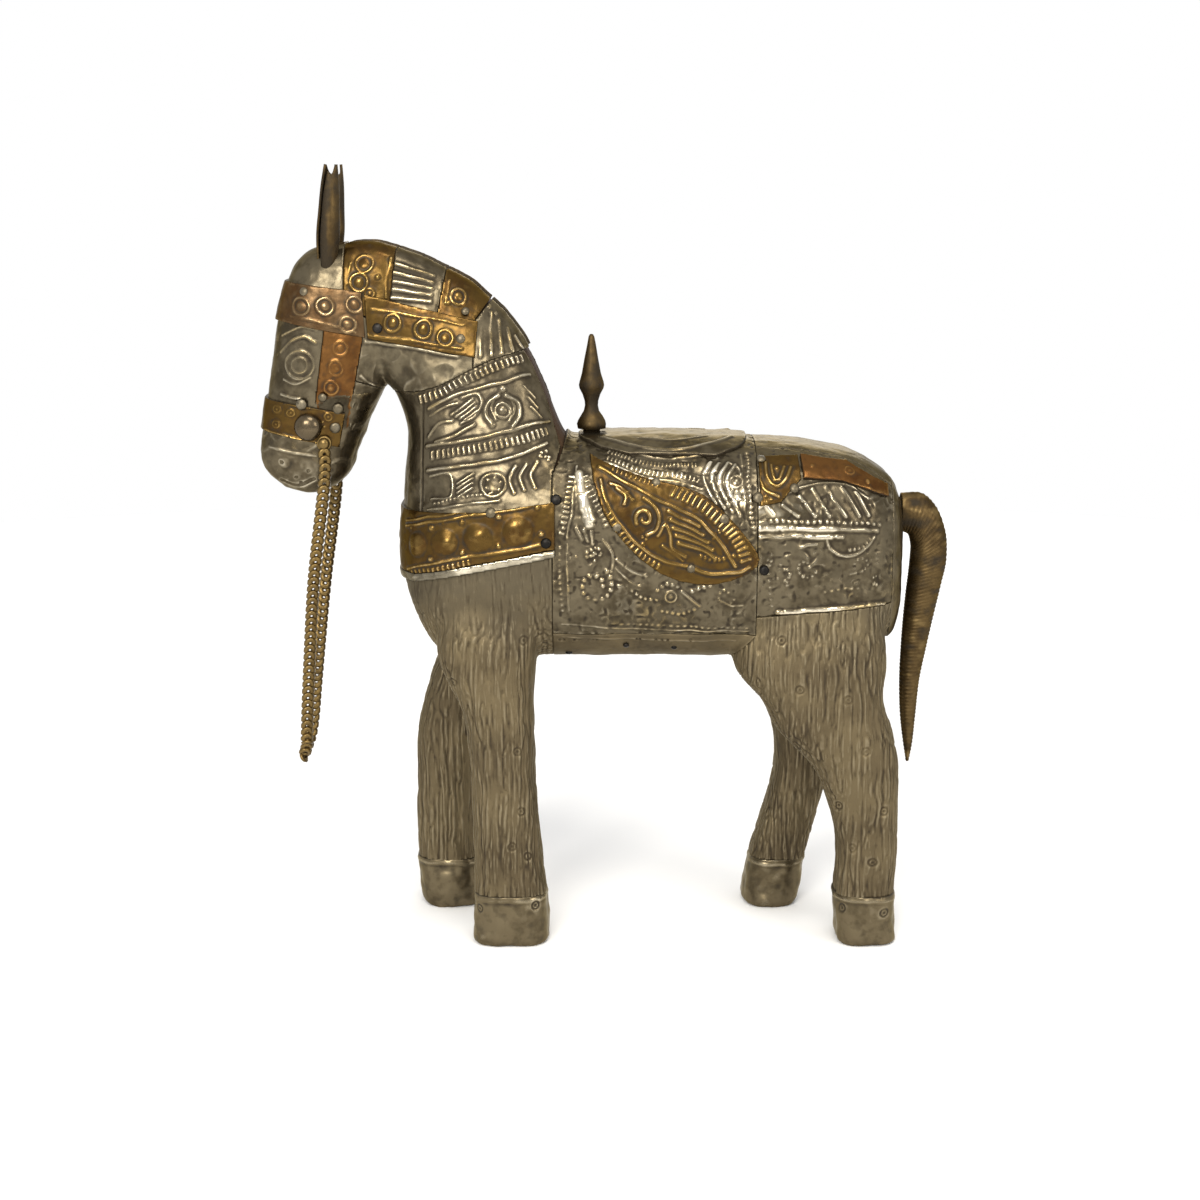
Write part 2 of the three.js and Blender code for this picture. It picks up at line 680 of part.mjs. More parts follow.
// Embossing that is beaten up out of some sheets: ridges, rows of bars, petals and round bosses
const EMBOSSED = 0.35;
const BOSS_CROWN = 0.8;
const RIDGE_WIDTH = 0.9;
const BAR_WIDTH = 0.7;
const BAR_PITCH = 1.4;
const BAND_BELOW_SEAM = 1.7;
const ROUND_FORM_SIDES = 8;

// A strip of even width along a line
function strip(line, width = RIDGE_WIDTH) {
  const edge = (side) =>
    line.map(([x, z], i) => {
      const [x0, z0] = line[Math.max(i - 1, 0)];
      const [x1, z1] = line[Math.min(i + 1, line.length - 1)];
      const out = (side * width) / 2 / Math.hypot(x1 - x0, z1 - z0);
      return [x - (z1 - z0) * out, z + (x1 - x0) * out];
    });
  return [...edge(1), ...backwards(edge(-1))];
}

// Short bars across a line, from one side of a band to the other
function bars(line, half) {
  const middle = curve(line);
  const count = Math.round(middle.getLength() / BAR_PITCH);
  return Array.from({ length: count }, (_, i) => {
    const place = middle.getPointAt((i + 0.5) / count);
    const run = middle.getTangentAt((i + 0.5) / count).multiplyScalar(half);
    return strip([[place.x - run.y, place.y + run.x], [place.x + run.y, place.y - run.x]], BAR_WIDTH);
  });
}

function oval(x, z, acrossX, acrossZ) {
  return Array.from({ length: ROUND_FORM_SIDES }, (_, k) => {
    const angle = (2 * Math.PI * k) / ROUND_FORM_SIDES;
    return [x + acrossX * Math.cos(angle), z + acrossZ * Math.sin(angle)];
  });
}

// Neck: two banded borders, with a striped leaf and a flower between them and a rosette below
const FLOWER = [-25.6, 7.8];
const petal = (side) =>
  [[1, 3.8], [3.8, 2], [4.3, -1], [2.5, -3.8]].map(([x, z]) => [FLOWER[0] + side * x, FLOWER[1] + z]);
const THIN_RIDGE = 0.6;
const leafStripe = (k) =>
  strip([[-33.3 + 0.5 * k, 10.4 - 0.9 * k], [-38.6 + 1.1 * k, 6.6 - 0.4 * k]], THIN_RIDGE);
const fanStripe = (k) => strip([[-33, -8 - 1.1 * k], [-36.7, -10.2 - 1.1 * k]], THIN_RIDGE);
const blade = (k) =>
  strip([[-22.6, -6], [-24, -9 - 0.2 * k], [-22.8, -12.2]].map(([x, z]) => [x + 2.8 * k, z + 0.6 * k]));
const NECK_ORNAMENT = [
  ...bars(raise(NECK_TOP.slice(2), -BAND_BELOW_SEAM), 1.25),
  strip([[-44.4, 8.2], [-37.6, 11.4], [-29.5, 13.8], [-18.9, 16.4]]),
  ...[0, 1, 2, 3].map(leafStripe),
  strip([[-42.7, -0.2], [-37.4, 1.8], [-32.6, 4.1]]),
  oval(...FLOWER, 2.1, 2.1), oval(FLOWER[0], FLOWER[1] + 5.4, 1.1, 1.1), strip(petal(-1)), strip(petal(1)),
  strip([[-44.8, -1.2], [-31.4, 1.1], [-14, 4.7]]),
  ...bars([[-44, -3.6], [-31.4, -1.3], [-21.3, 0.7], [-14.2, 2.4]], 1.3),
  strip([[-44.6, -7.2], [-33.9, -5.6], [-23.3, -3.6], [-14.6, -0.6]]),
  ...[0, 1, 2, 3].map(fanStripe),
  oval(-27.9, -10.3, 3.1, 3.1),
  ...[0, 1, 2].map(blade),
];

// Saddle flap: a line inside each border with bars beyond it, a scroll, and petals that fan out from it
const SCROLL = [10, -18.3];
const SCROLL_RADIUS = 2.3;
const SCROLL_STEPS = 7;
const SCROLL_START = 2.6;
const scrollPoint = (_, k) => {
  const angle = SCROLL_START + (1.7 * Math.PI * k) / SCROLL_STEPS;
  return [SCROLL[0] + SCROLL_RADIUS * Math.cos(angle), SCROLL[1] - SCROLL_RADIUS * Math.sin(angle)];
};
const flapPetal = (k) => {
  const line = [[15.8 + 0.7 * k, -16.6], [19.8 + 1.2 * k, -18.6], [23.6 + k, -20.4]];
  return strip(raise(line, -2 * k));
};
const FLAP_ORNAMENT = [
  strip([[-1.4, -6.6], [8.8, -11.8], [15.8, -15], [23.8, -19.1], [29.3, -25.2], [32.7, -30.5]]),
  strip([[-1, -9.4], [0.2, -13.8], [3.6, -19.8], [9, -25.4], [15, -29.2], [21.4, -30.5]]),
  ...bars([[16.7, -11.5], [23.5, -14.7], [29.6, -19.8], [34, -25.4], [35.6, -29.5]], 1.5),
  ...bars([[0.9, -17], [4.1, -22.1], [9, -27.2], [13.9, -30.9]], 1),
  strip(Array.from({ length: SCROLL_STEPS }, scrollPoint)),
  ...[0, 1, 2, 3, 4].map(flapPetal),
];

// Collar: a row of round bosses, which the curve of the chest narrows in the side view
const COLLAR_BOSSES = [[-46.8, -25.8, 2.2, 3.1], [-40, -24.8, 3, 3.3], [-31.7, -23.5, 3.6, 3.6],
  [-21.6, -21.7, 3.9, 3.9]];
const bosses = (share) => COLLAR_BOSSES.map(([x, z, wide, tall]) => oval(x, z, share * wide, share * tall));

// For each embossed sheet, its ornament by height over the sheet
const ORNAMENT = {
  neck_sheet: [[EMBOSSED, NECK_ORNAMENT]],
  saddle_flap: [[EMBOSSED, FLAP_ORNAMENT]],
  chest_collar: [[EMBOSSED, bosses(1)], [BOSS_CROWN, bosses(0.65)]],
};

const block = (outline, from, to) => slab(outline.map(([x, z]) => up(x, z)), from, to);

function embossing(name, layer, from, to) {
  const [inner, outer] = LAYERS[layer];
  const ornament = ORNAMENT[name.replace(/_(left|right)$/, "")] ?? [];
  return ornament.map(([height, outlines]) => {
    const forms = wasm.Manifold.union(outlines.map((outline) => block(outline, from, to)));
    return skin([inner, outer + height]).intersect(forms);
  });
}

function sheet(name, finish, layer, outline, from = -PAST, to = PAST) {
  const full = embossing(name, layer, from, to).reduce((sum, form) => sum.add(form), SKINS[layer]);
  add(name, finish, drilled(full.intersect(block(outline, from, to))));
}

// The same sheet on each side of the horse, kept a little way off its middle plane
function pair(name, finish, layer, outline, inner = HALF_SEAM) {
  sheet(name + "_left", finish, layer, outline, -PAST, -inner);
  sheet(name + "_right", finish, layer, outline, inner, PAST);
}

function legCladding(name) {
  const [place] = name.split("_");
  const span = legSide(name) < 0 ? [-PAST, -HALF_SEAM] : [HALF_SEAM, PAST];
  sheet("leg_sheet_" + name, "white_metal", "first", LEG_SHEETS[place], ...span);
  const [x0, x1] = HOOF_SPAN[place];
  const sole = SOLE_LIP - BACK_HEIGHT;
  const cap = [[x0, sole], [x1, sole], [x1, HOOF_TOP], [x0, HOOF_TOP]];
  sheet("hoof_cap_" + name, "white_metal", "first", cap, ...span);
}

function cladding() {
  LEG_NAMES.forEach(legCladding);
  for (const [name, outline] of Object.entries(FIRST)) sheet(name, "white_metal", "first", outline);
  for (const [name, [finish, outline]] of Object.entries(FIRST_PAIRS)) {
    pair(name, finish, "first", outline, CREST_STRIP / 2);
  }
  pair("barrel_sheet", "white_metal", "first", BARREL, SADDLE_GAP / 2);
  pair("croup_sheet", "white_metal", "first", CROUP, CROUP_CAP_WIDTH / 2 + SEAM);
  sheet("croup_cap", "white_metal", "first", CROUP, -CROUP_CAP_WIDTH / 2, CROUP_CAP_WIDTH / 2);
}

function overlays() {
  for (const [name, [finish, outline]] of Object.entries(OVERLAYS)) sheet(name, finish, "overlay", outline);
  for (const [name, [finish, outline]] of Object.entries(OVERLAY_PAIRS)) {
    pair(name, finish, "overlay", outline);
  }
  sheet("saddle_seat", "white_metal", "overlay", SEAT, -SEAT_WIDTH / 2, SEAT_WIDTH / 2);
}

function fittings() {
  finial();
  add("tail", "dark_bronze", loft(TAIL, 0, ROUND_SIDES, 2.2).add(tailPeg(0)));
  const overSheets = whole(CLEARANCE);
  for (const [label, side] of Object.entries(SIDES)) {
    const hollow = earLeaf(side, EAR_WALL, EAR_WIDTH / 4);
    const leaf = mainBody(earLeaf(side, 0, 0).subtract(hollow).subtract(overSheets));
    add("ear_" + label, "dark_bronze", leaf.add(earPeg(side, 0)));
    add("dome_stud_" + label, "dark_bronze", stud(side));
    add("rein_pin_" + label, "brass", pin(side));
  }
}

wood();
cladding();
overlays();
fittings();

// The frame's origin is under the middle of the horse, and the hanging rein isn't counted.
const standing = new THREE.Box3().setFromObject(horse);
horse.position.x = -(standing.min.x + standing.max.x) / 2;
add("rein_chain", "brass", reinChain());

export default new THREE.Group().add(horse);
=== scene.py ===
"""A carved wooden horse, clad in thin embossed sheets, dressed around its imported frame."""

import math

import bmesh
import bpy
import numpy as np
from mathutils import Matrix, Vector
from mathutils.bvhtree import BVHTree


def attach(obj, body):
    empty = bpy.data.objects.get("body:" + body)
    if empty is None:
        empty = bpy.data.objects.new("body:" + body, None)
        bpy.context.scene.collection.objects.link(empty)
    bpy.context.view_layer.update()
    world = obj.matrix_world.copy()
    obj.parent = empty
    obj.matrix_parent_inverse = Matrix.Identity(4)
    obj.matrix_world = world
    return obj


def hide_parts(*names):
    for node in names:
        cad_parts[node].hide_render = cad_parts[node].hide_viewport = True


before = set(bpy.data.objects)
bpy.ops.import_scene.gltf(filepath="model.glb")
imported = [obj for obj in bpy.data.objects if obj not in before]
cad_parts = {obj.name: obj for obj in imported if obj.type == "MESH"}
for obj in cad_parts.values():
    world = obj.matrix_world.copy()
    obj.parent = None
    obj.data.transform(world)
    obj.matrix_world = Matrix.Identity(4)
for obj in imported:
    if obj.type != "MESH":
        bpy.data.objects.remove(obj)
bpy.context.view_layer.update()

bl_info = {
    "name": "Clad wooden horse",
    "version": (1, 0, 0),
    "blender": (4, 5, 0),
    "location": "View3D > Sidebar > Horse",
    "description": "Dresses the packed horse in embossed sheets, fittings and a chain rein",
    "category": "Object",
}

# Shapes are drawn in millimetres, as in the frame's own drawing, and set in the frame at the end.
FRAME_SHIFT = -0.38222503662109375
MM = 0.001
PLACE = Matrix.Scale(MM, 4) @ Matrix.Translation((FRAME_SHIFT, 0, 0))
PAST = 131.0
BACK = 131.0
BELLY = 74.0
SIDES = {"left": -1, "right": 1}

# The picture: where the camera stands in the drawing, its pitch, and the picture's size
EYE = np.array((-1.2, -589.0, 201.5))
PITCH = math.radians(11)
LENS = 68.55
SENSOR = 36.0
PICTURE = 1200
FOCAL = LENS / SENSOR * PICTURE
FORWARD = np.array((0, math.cos(PITCH), -math.sin(PITCH)))
UPWARD = np.array((0, math.sin(PITCH), math.cos(PITCH)))


# Sizes and colours that a user may change

def length(name, description, value):
    return bpy.props.FloatProperty(name=name, description=description, default=value, unit="LENGTH")


class HorseSizes(bpy.types.PropertyGroup):
    """Sizes of the cladding and the fittings."""

    pitch: length("Carving pitch", "Edge of the carving's faces before a sheet is refined", 0.0006)
    wood: length("Wood depth", "How far the wood lies under the face of the sheets", 0.00115)
    sheet: length("Sheet edge", "How far the edge of a sheet turns down", 0.00055)
    overlay: length("Overlay height", "Face of the straps and plates over the first sheets", 0.0008)
    relief: bpy.props.FloatProperty(
        name="Relief", description="Depth of the embossing, as a share of the drawn depth",
        default=1.0, subtype="FACTOR")
    link_pitch: length("Link pitch", "From one link of the rein to the next", 0.0019)
    link_width: length("Link width", "A link of the rein, across", 0.0036)
    link_wire: length("Link wire", "Diameter of the wire of a link", 0.00088)


def colour(name, description, value):
    return bpy.props.FloatVectorProperty(
        name=name, description=description, default=(*value, 1), size=4, min=0, max=1, subtype="COLOR")


class HorseColours(bpy.types.PropertyGroup):
    """Colours of the finishes: the worn tops, which also stand as painted highlight, the open metal, and the
    dirt in the hollows, which also stands as painted shade.
    """

    # The worn colours are painted on the tops of the embossing: partly wear, partly painted highlight
    white_worn: colour("White metal, worn", "Tops of the embossing", (0.34, 0.295, 0.21))
    white: colour("White metal", "Open face of the white sheets", (0.115, 0.094, 0.06))
    leg: colour("Leg metal", "Dull face of the leg sheets", (0.125, 0.096, 0.053))
    brass_worn: colour("Brass, worn", "Tops of the embossed brass", (0.28, 0.18, 0.055))
    brass: colour("Brass", "Open face of the brass sheets", (0.086, 0.05, 0.0135))
    copper_worn: colour("Copper, worn", "Tops of the coppery straps", (0.3, 0.215, 0.11))
    copper: colour("Copper", "Open face of the coppery straps", (0.105, 0.064, 0.031))
    amber_worn: colour("Amber, worn", "Tops of the orange straps", (0.36, 0.21, 0.07))
    amber: colour("Amber", "Open face of the orange straps", (0.13, 0.06, 0.018))
    bronze_worn: colour("Bronze, worn", "Edges of the ears, finial and tail", (0.26, 0.18, 0.075))
    bronze: colour("Bronze", "Ears, finial and tail", (0.094, 0.062, 0.026))
    hoof_worn: colour("Hoof metal, worn", "Tops of the hoof caps", (0.32, 0.27, 0.18))
    hoof: colour("Hoof metal", "Open face of the hoof caps", (0.14, 0.111, 0.066))
    muzzle_worn: colour("Muzzle metal, worn", "Tops of the jaw, muzzle and throat", (0.29, 0.25, 0.175))
    muzzle: colour("Muzzle metal", "Open face of the jaw, muzzle and throat", (0.125, 0.103, 0.066))
    edge_worn: colour("Rolled edge, worn", "Top of the edge under the collar", (0.36, 0.32, 0.24))
    edge: colour("Rolled edge", "Open face of the edge under the collar", (0.17, 0.15, 0.11))
    chain: colour("Chain", "Links of the rein", (0.15, 0.1, 0.036))
    # The dirt colour is painted in the hollows and along the edges of the sheets: partly dirt, partly
    # painted shade
    dirt_and_shade: colour("Dirt", "Old dirt in the hollows", (0.018, 0.013, 0.008))
    wood: colour("Wood", "Old wood under the sheets", (0.05, 0.029, 0.015))
    iron: colour("Iron", "Black nail heads", (0.012, 0.011, 0.01))


# Smooth numbers

def hermite(knots, values, at):
    """A smooth curve through rows of values at the knots, read at each place."""
    slopes = np.gradient(values, knots, axis=0)
    i = np.clip(np.searchsorted(knots, at) - 1, 0, len(knots) - 2)
    span = (knots[i + 1] - knots[i])[:, None]
    t = ((at - knots[i]) / (knots[i + 1] - knots[i]))[:, None]
    return (
        (1 + 2 * t) * (1 - t) ** 2 * values[i] + t * (1 - t) ** 2 * span * slopes[i]
        + t * t * (3 - 2 * t) * values[i + 1] + t * t * (t - 1) * span * slopes[i + 1]
    )


def smooth_line(points, steps=6):
    """Points of a smooth line through the given ones."""
    points = np.array(points, float)
    if len(points) < 3:
        return points
    knots = np.arange(len(points), dtype=float)
    return hermite(knots, points, np.linspace(0, len(points) - 1, (len(points) - 1) * steps + 1))


def bump(share):
    """A rounded ridge: 1 in the middle and 0 from share 1 on."""
    return np.clip(1 - share * share, 0, 1) ** 2


# Numbers that stir the place of a cell and a seed into noise
CELL_STIR = np.array((73856093, 19349663, 83492791))[:, None]
SEED_STIR = 40503
FIRST_STIR = 1274126177
SECOND_STIR = 668265263
WORD = 0xFFFFFFFF
HALF_WORD = 0xFFFF


def grain(points, seed):
    """Smooth seeded noise from -1 to 1 at each point."""
    cell = np.floor(points).astype(np.int64)
    inside = points - cell
    inside = inside * inside * (3 - 2 * inside)
    total = np.zeros(len(points))
    for corner in np.ndindex(2, 2, 2):
        x, y, z = (cell + corner).T * CELL_STIR
        mixed = (x ^ y ^ z ^ seed * SEED_STIR) & WORD
        mixed = ((mixed ^ mixed >> 15) * FIRST_STIR) & WORD
        mixed = ((mixed ^ mixed >> 13) * SECOND_STIR) & WORD
        weight = np.prod(np.where(np.array(corner) == 1, inside, 1 - inside), axis=1)
        total += weight * ((mixed >> 8 & HALF_WORD) / (HALF_WORD / 2) - 1)
    return total


def drift(points, seeds):
    """Smooth seeded noise in three directions at each point."""
    return np.stack([grain(points, seed) for seed in seeds], 1)


# Meshes

def mapped_grid(bm, across, along, shape):
    """A grid whose points are moved to shape(u, v), with its seams and poles closed."""
    made = bmesh.ops.create_grid(bm, x_segments=across, y_segments=along, size=1)["verts"]
    flat = np.array([v.co[:2] for v in made])
    for vert, place in zip(made, shape(*((flat.T + 1) / 2))):
        vert.co = place
    bmesh.ops.remove_doubles(bm, verts=made, dist=1e-4)
    return made


def loft(bm, rungs, grow=0.0, sides=48, step=1.4, power=3.0, cap=5.0, detail=None):
    """A closed skin over rungs. A rung is a bar in the side view with half its width and its y."""
    rungs = np.array(rungs, float)
    middle = np.stack([(rungs[:, 0] + rungs[:, 2]) / 2, (rungs[:, 1] + rungs[:, 3]) / 2], 1)
    run = np.concatenate([[0], np.cumsum(np.linalg.norm(np.diff(middle, axis=0), axis=1))])
    whole = run[-1] + 2 * cap

    def shape(u, v):
        along = v * whole - cap
        bar = hermite(run, rungs, np.clip(along, 0, run[-1]))
        out = np.maximum(-along, along - run[-1]) / cap
        share = 1 - np.clip(out, 0, 1)
        ends = bar[:, 2:4] - bar[:, 0:2]
        depth = np.linalg.norm(ends, axis=1)
        ends = ends / depth[:, None]
        turn = 2 * np.pi * u

        def rounded(t):
            return np.sign(t) * np.abs(t) ** (2 / power)

        lift = grow + (detail(turn, along) if detail else 0)
        reach = rounded(np.cos(turn)) * (depth / 2 + lift) * share
        wide = rounded(np.sin(turn)) * (bar[:, 4] + lift) * share
        mid = (bar[:, 0:2] + bar[:, 2:4]) / 2 + ends * reach[:, None]
        return np.stack([mid[:, 0], bar[:, 5] + wide, mid[:, 1]], 1)

    return mapped_grid(bm, sides, max(4, round(whole / step)), shape)


def fused(bm, pitch):
    """One skin over everything in the bmesh, as a new mesh with faces of that pitch."""
    mesh = bpy.data.meshes.new("scratch")
    bm.to_mesh(mesh)
    bm.free()
    holder = bpy.data.objects.new("scratch", mesh)
    bpy.context.scene.collection.objects.link(holder)
    remesh = holder.modifiers.new("fuse", "REMESH")
    remesh.mode = "VOXEL"
    remesh.voxel_size = pitch
    seen = holder.evaluated_get(bpy.context.evaluated_depsgraph_get())
    made = bpy.data.meshes.new_from_object(seen)
    bpy.data.objects.remove(holder)
    bpy.data.meshes.remove(mesh)
    return made


def once(elements):
    """The elements in their own order, each once. A set would mix them in another way in each run."""
    return list(dict.fromkeys(elements))


def smoothed(bm, verts, rounds):
    """Moves each of the points halfway to the middle of its neighbours, a number of times."""
    for _ in range(rounds):
        bmesh.ops.smooth_vert(
            bm, verts=verts, factor=0.5, use_axis_x=True, use_axis_y=True, use_axis_z=True)


def piece(name, bm, finish, nodes=(), slot=None, tone=None, body="horse"):
    """Puts a finished mesh in the frame as one piece that rides on a body."""
    bmesh.ops.transform(bm, matrix=PLACE, verts=bm.verts[:])
    mesh = bpy.data.meshes.new(name)
    bm.to_mesh(mesh)
    bm.free()
    if tone is not None:
        mesh.attributes.new("tone", "FLOAT", "POINT").data.foreach_set("value", np.asarray(tone, np.float32))
    mesh.polygons.foreach_set("use_smooth", np.ones(len(mesh.polygons), bool))
    mesh.materials.append(finish)
    made = bpy.data.objects.new(name, mesh)
    bpy.context.scene.collection.objects.link(made)
    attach(made, body)
    if nodes:
        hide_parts(*nodes)
    return made


# The carving: rungs of the trunk and legs, measured over the first layer of sheet

TORSO_HALF = 25.0
NECK_HALF = 17.0
HEAD_HALF = 12.5
LEG_HALF = 8.5
CARVING_ROUNDS = 10


def up(x, height):
    """A place of the side view, from its height over the back."""
    return (x, BACK + height)


# Torso: x, drop under the back, rise over the belly, share of the half width
TORSO = [
    (x, BELLY + rise, x, BACK - drop, TORSO_HALF * full, 0)
    for x, drop, rise, full in (
        (-52, 19, 22, 0.46), (-49, 13, 12, 0.7), (-44, 7, 3, 0.87), (-34, 2, 0, 0.96), (-14, 0.5, 0, 1),
        (12, 0, 0, 1), (36, 0.8, 0, 1), (52, 1.8, 0.5, 0.99), (64, 4.6, 1.5, 0.93), (71, 8.6, 3.5, 0.82),
        (75, 13, 7, 0.66), (76.5, 18, 12, 0.5))
]
# Neck and head: front and rear end of each rung, share of the half width
NECK = [
    (*up(ax, az), *up(bx, bz), NECK_HALF * full, 0)
    for ax, az, bx, bz, full in (
        (-50, -42, 2, -16, 1.2), (-52.3, -29.4, -3, -4, 1.28), (-51.4, -9.6, -9, 0.3, 1.17),
        (-50.7, 2, -15.2, 15, 1), (-53.5, 10.5, -21.5, 27.5, 0.88), (-58, 16, -32, 38.4, 0.77),
        (-63, 21, -46, 46, 0.7), (-69, 29, -59, 49.4, 0.66))
]
HEAD = [
    (*up(ax, az), *up(bx, bz), HEAD_HALF * full, 0)
    for ax, az, bx, bz, full in (
        (-66, 49, -50, 31, 0.86), (-74.5, 47.2, -52.5, 23, 0.95), (-79, 43, -55.5, 15.2, 1),
        (-82.5, 33.5, -56.8, 11.5, 1.03), (-84.5, 23, -59.6, 6.5, 1), (-86.3, 11.5, -62.2, 0.6, 0.9),
        (-87.9, 1.5, -64.2, -5, 0.82), (-88.6, -6, -66.8, -10.8, 0.76), (-86.4, -10.4, -70, -13.2, 0.66),
        (-82, -13.8, -74.2, -15, 0.45))
]
# Poll: x, foot and top over the back, half width
POLL = [
    (x, BACK + low, x, BACK + high, half, 0)
    for x, low, high, half in (
        (-69, 36, 48.2, 9), (-64, 36, 49.8, 10), (-58, 34, 49.7, 10.4), (-50, 32, 47.4, 10.6),
        (-43, 29, 44.2, 10.6))
]
# Legs: height as a share of the belly's, front and rear, share of the half width
LEG_BARS = {
    "front_left": (
        (1.28, -40, -16, 0.82), (0.99, -42, -17.6, 1.08), (0.87, -37.6, -18.3, 1.08),
        (0.71, -35, -18.2, 1.02), (0.51, -34.4, -17.4, 0.97), (0.3, -34, -16.1, 0.97),
        (0.17, -34, -15.2, 1), (0, -34.1, -14.3, 1.04)),
    "front_right": (
        (1.28, -40, -16, 0.82), (0.99, -43, -19, 1.08), (0.92, -45.2, -23, 1.08),
        (0.77, -48.9, -29.5, 1.05), (0.67, -50.4, -32.8, 1), (0.51, -50.8, -34, 0.97),
        (0.2, -50.9, -34.4, 0.98), (0, -49.8, -32.6, 1.04)),
    "hind_left": (
        (1.26, 40, 70, 0.82), (0.98, 33.6, 72.2, 1.1), (0.87, 40.5, 71.6, 1.12), (0.76, 44.5, 74.2, 1.1),
        (0.67, 51.6, 75.7, 1.04), (0.52, 57.6, 76, 0.98), (0.31, 60.3, 75.9, 0.95), (0.18, 60, 75.5, 0.98),
        (0, 60.8, 76, 1.04)),
    "hind_right": (
        (1.26, 40, 70, 0.82), (0.98, 33.6, 72.2, 1.1), (0.85, 40.2, 70.6, 1.12), (0.72, 44.6, 67.6, 1.06),
        (0.57, 46.6, 63, 1), (0.41, 44.7, 59.4, 0.96), (0.26, 41.4, 56.4, 0.96), (0.15, 39.3, 54.4, 0.98),
        (0, 38, 53, 1.04)),
}
LEG_Y = 16.0
LEGS = {
    name: [
        (front, share * BELLY, rear, share * BELLY, LEG_HALF * full, LEG_Y * SIDES[name.split("_")[1]])
        for share, front, rear, full in bars
    ]
    for name, bars in LEG_BARS.items()
}
TRUNK = (TORSO, NECK, HEAD, POLL)
CARVING = {}


def carve(pitch):
    """The skin of the whole carving, kept for every sheet that is cut from it."""
    bm = bmesh.new()
    for rungs in (*TRUNK, *LEGS.values()):
        loft(bm, rungs)
    bmesh.ops.recalc_face_normals(bm, faces=bm.faces[:])
    mesh = fused(bm, pitch)
    bm = bmesh.new()
    bm.from_mesh(mesh)
    smoothed(bm, bm.verts[:], CARVING_ROUNDS)
    bmesh.ops.recalc_face_normals(bm, faces=bm.faces[:])
    bm.to_mesh(mesh)
    CARVING["tree"] = BVHTree.FromBMesh(bm)
    bm.free()
    centres = np.zeros(3 * len(mesh.polygons), np.float32)
    mesh.polygons.foreach_get("center", centres)
    CARVING["mesh"] = mesh
    CARVING["centres"] = centres.reshape(-1, 3)
    CARVING["pitch"] = pitch


def on_carving(point):
    """A place on the left of the carving: as drawn in the picture, or near a point in space."""
    tree = CARVING["tree"]
    if len(point) == 3:
        return np.array(tree.find_nearest(point)[0])
    right, down = ((p - PICTURE / 2) / FOCAL for p in point)
    ray = FORWARD + right * np.array((1, 0, 0)) - down * UPWARD
    place = tree.ray_cast(Vector(EYE), Vector(ray).normalized())[0]
    if place is None:
        place = tree.find_nearest(Vector(EYE - ray * EYE[1] / ray[1]))[0]
    return np.array(place)


def on_side(line):
    """A line of the side view, laid on the left side of the carving."""
    places = [CARVING["tree"].ray_cast((x, -PAST, BACK + z), (0, 1, 0))[0] for x, z in line]
    return [tuple(place) for place in places]


def traced(points):
    """A smooth line of the drawing, laid on the carving."""
    return np.array([on_carving(p) for p in smooth_line(points)])


# Embossing

def nearest_on(points, line):
    """Distance from each point to a line, how far along it the nearest place is, and the line's length."""
    best = np.full(len(points), np.inf)
    at = np.zeros(len(points))
    start = 0.0
    for a, b in zip(line[:-1], line[1:]):
        run = b - a
        size = np.linalg.norm(run)
        if size < 1e-9:
            continue
        t = np.clip((points - a) @ run / size**2, 0, 1)
        d = np.linalg.norm(points - a - t[:, None] * run, axis=1)
        nearer = d < best
        best[nearer] = d[nearer]
        at[nearer] = start + t[nearer] * size
        start += size
    return best, at, start


# Strokes are struck wider and higher than drawn. They stray a little, and their force varies.
RIDGE_WIDTH = 1.3
RIDGE_HEIGHT = 1.25
WANDER = 0.32
WANDER_OFTEN = 0.24
WANDER_SEEDS = (61, 62, 63)
FORCE = 0.85
FORCE_SWING = 0.4
FORCE_OFTEN = 0.16
FORCE_SEED = 64
OBLIQUE = np.array(
    Matrix.Rotation(0.9, 3, "X") @ Matrix.Rotation(0.7, 3, "Y") @ Matrix.Rotation(0.5, 3, "Z"))
# A hatched band: its ground between the bars, how sharp these are, its soft edge and its reach
HATCH_GROUND = 0.12
HATCH_SHARP = 1.3
HATCH_EDGE = 0.35
HATCH_REACH = 0.2
# A ring: the share of the height at its edge, and the height and size of the boss inside it
RING_EDGE = 0.8
RING_BOSS = 0.95
RING_BOSS_SIZE = 0.72
CURL_POINTS = 14


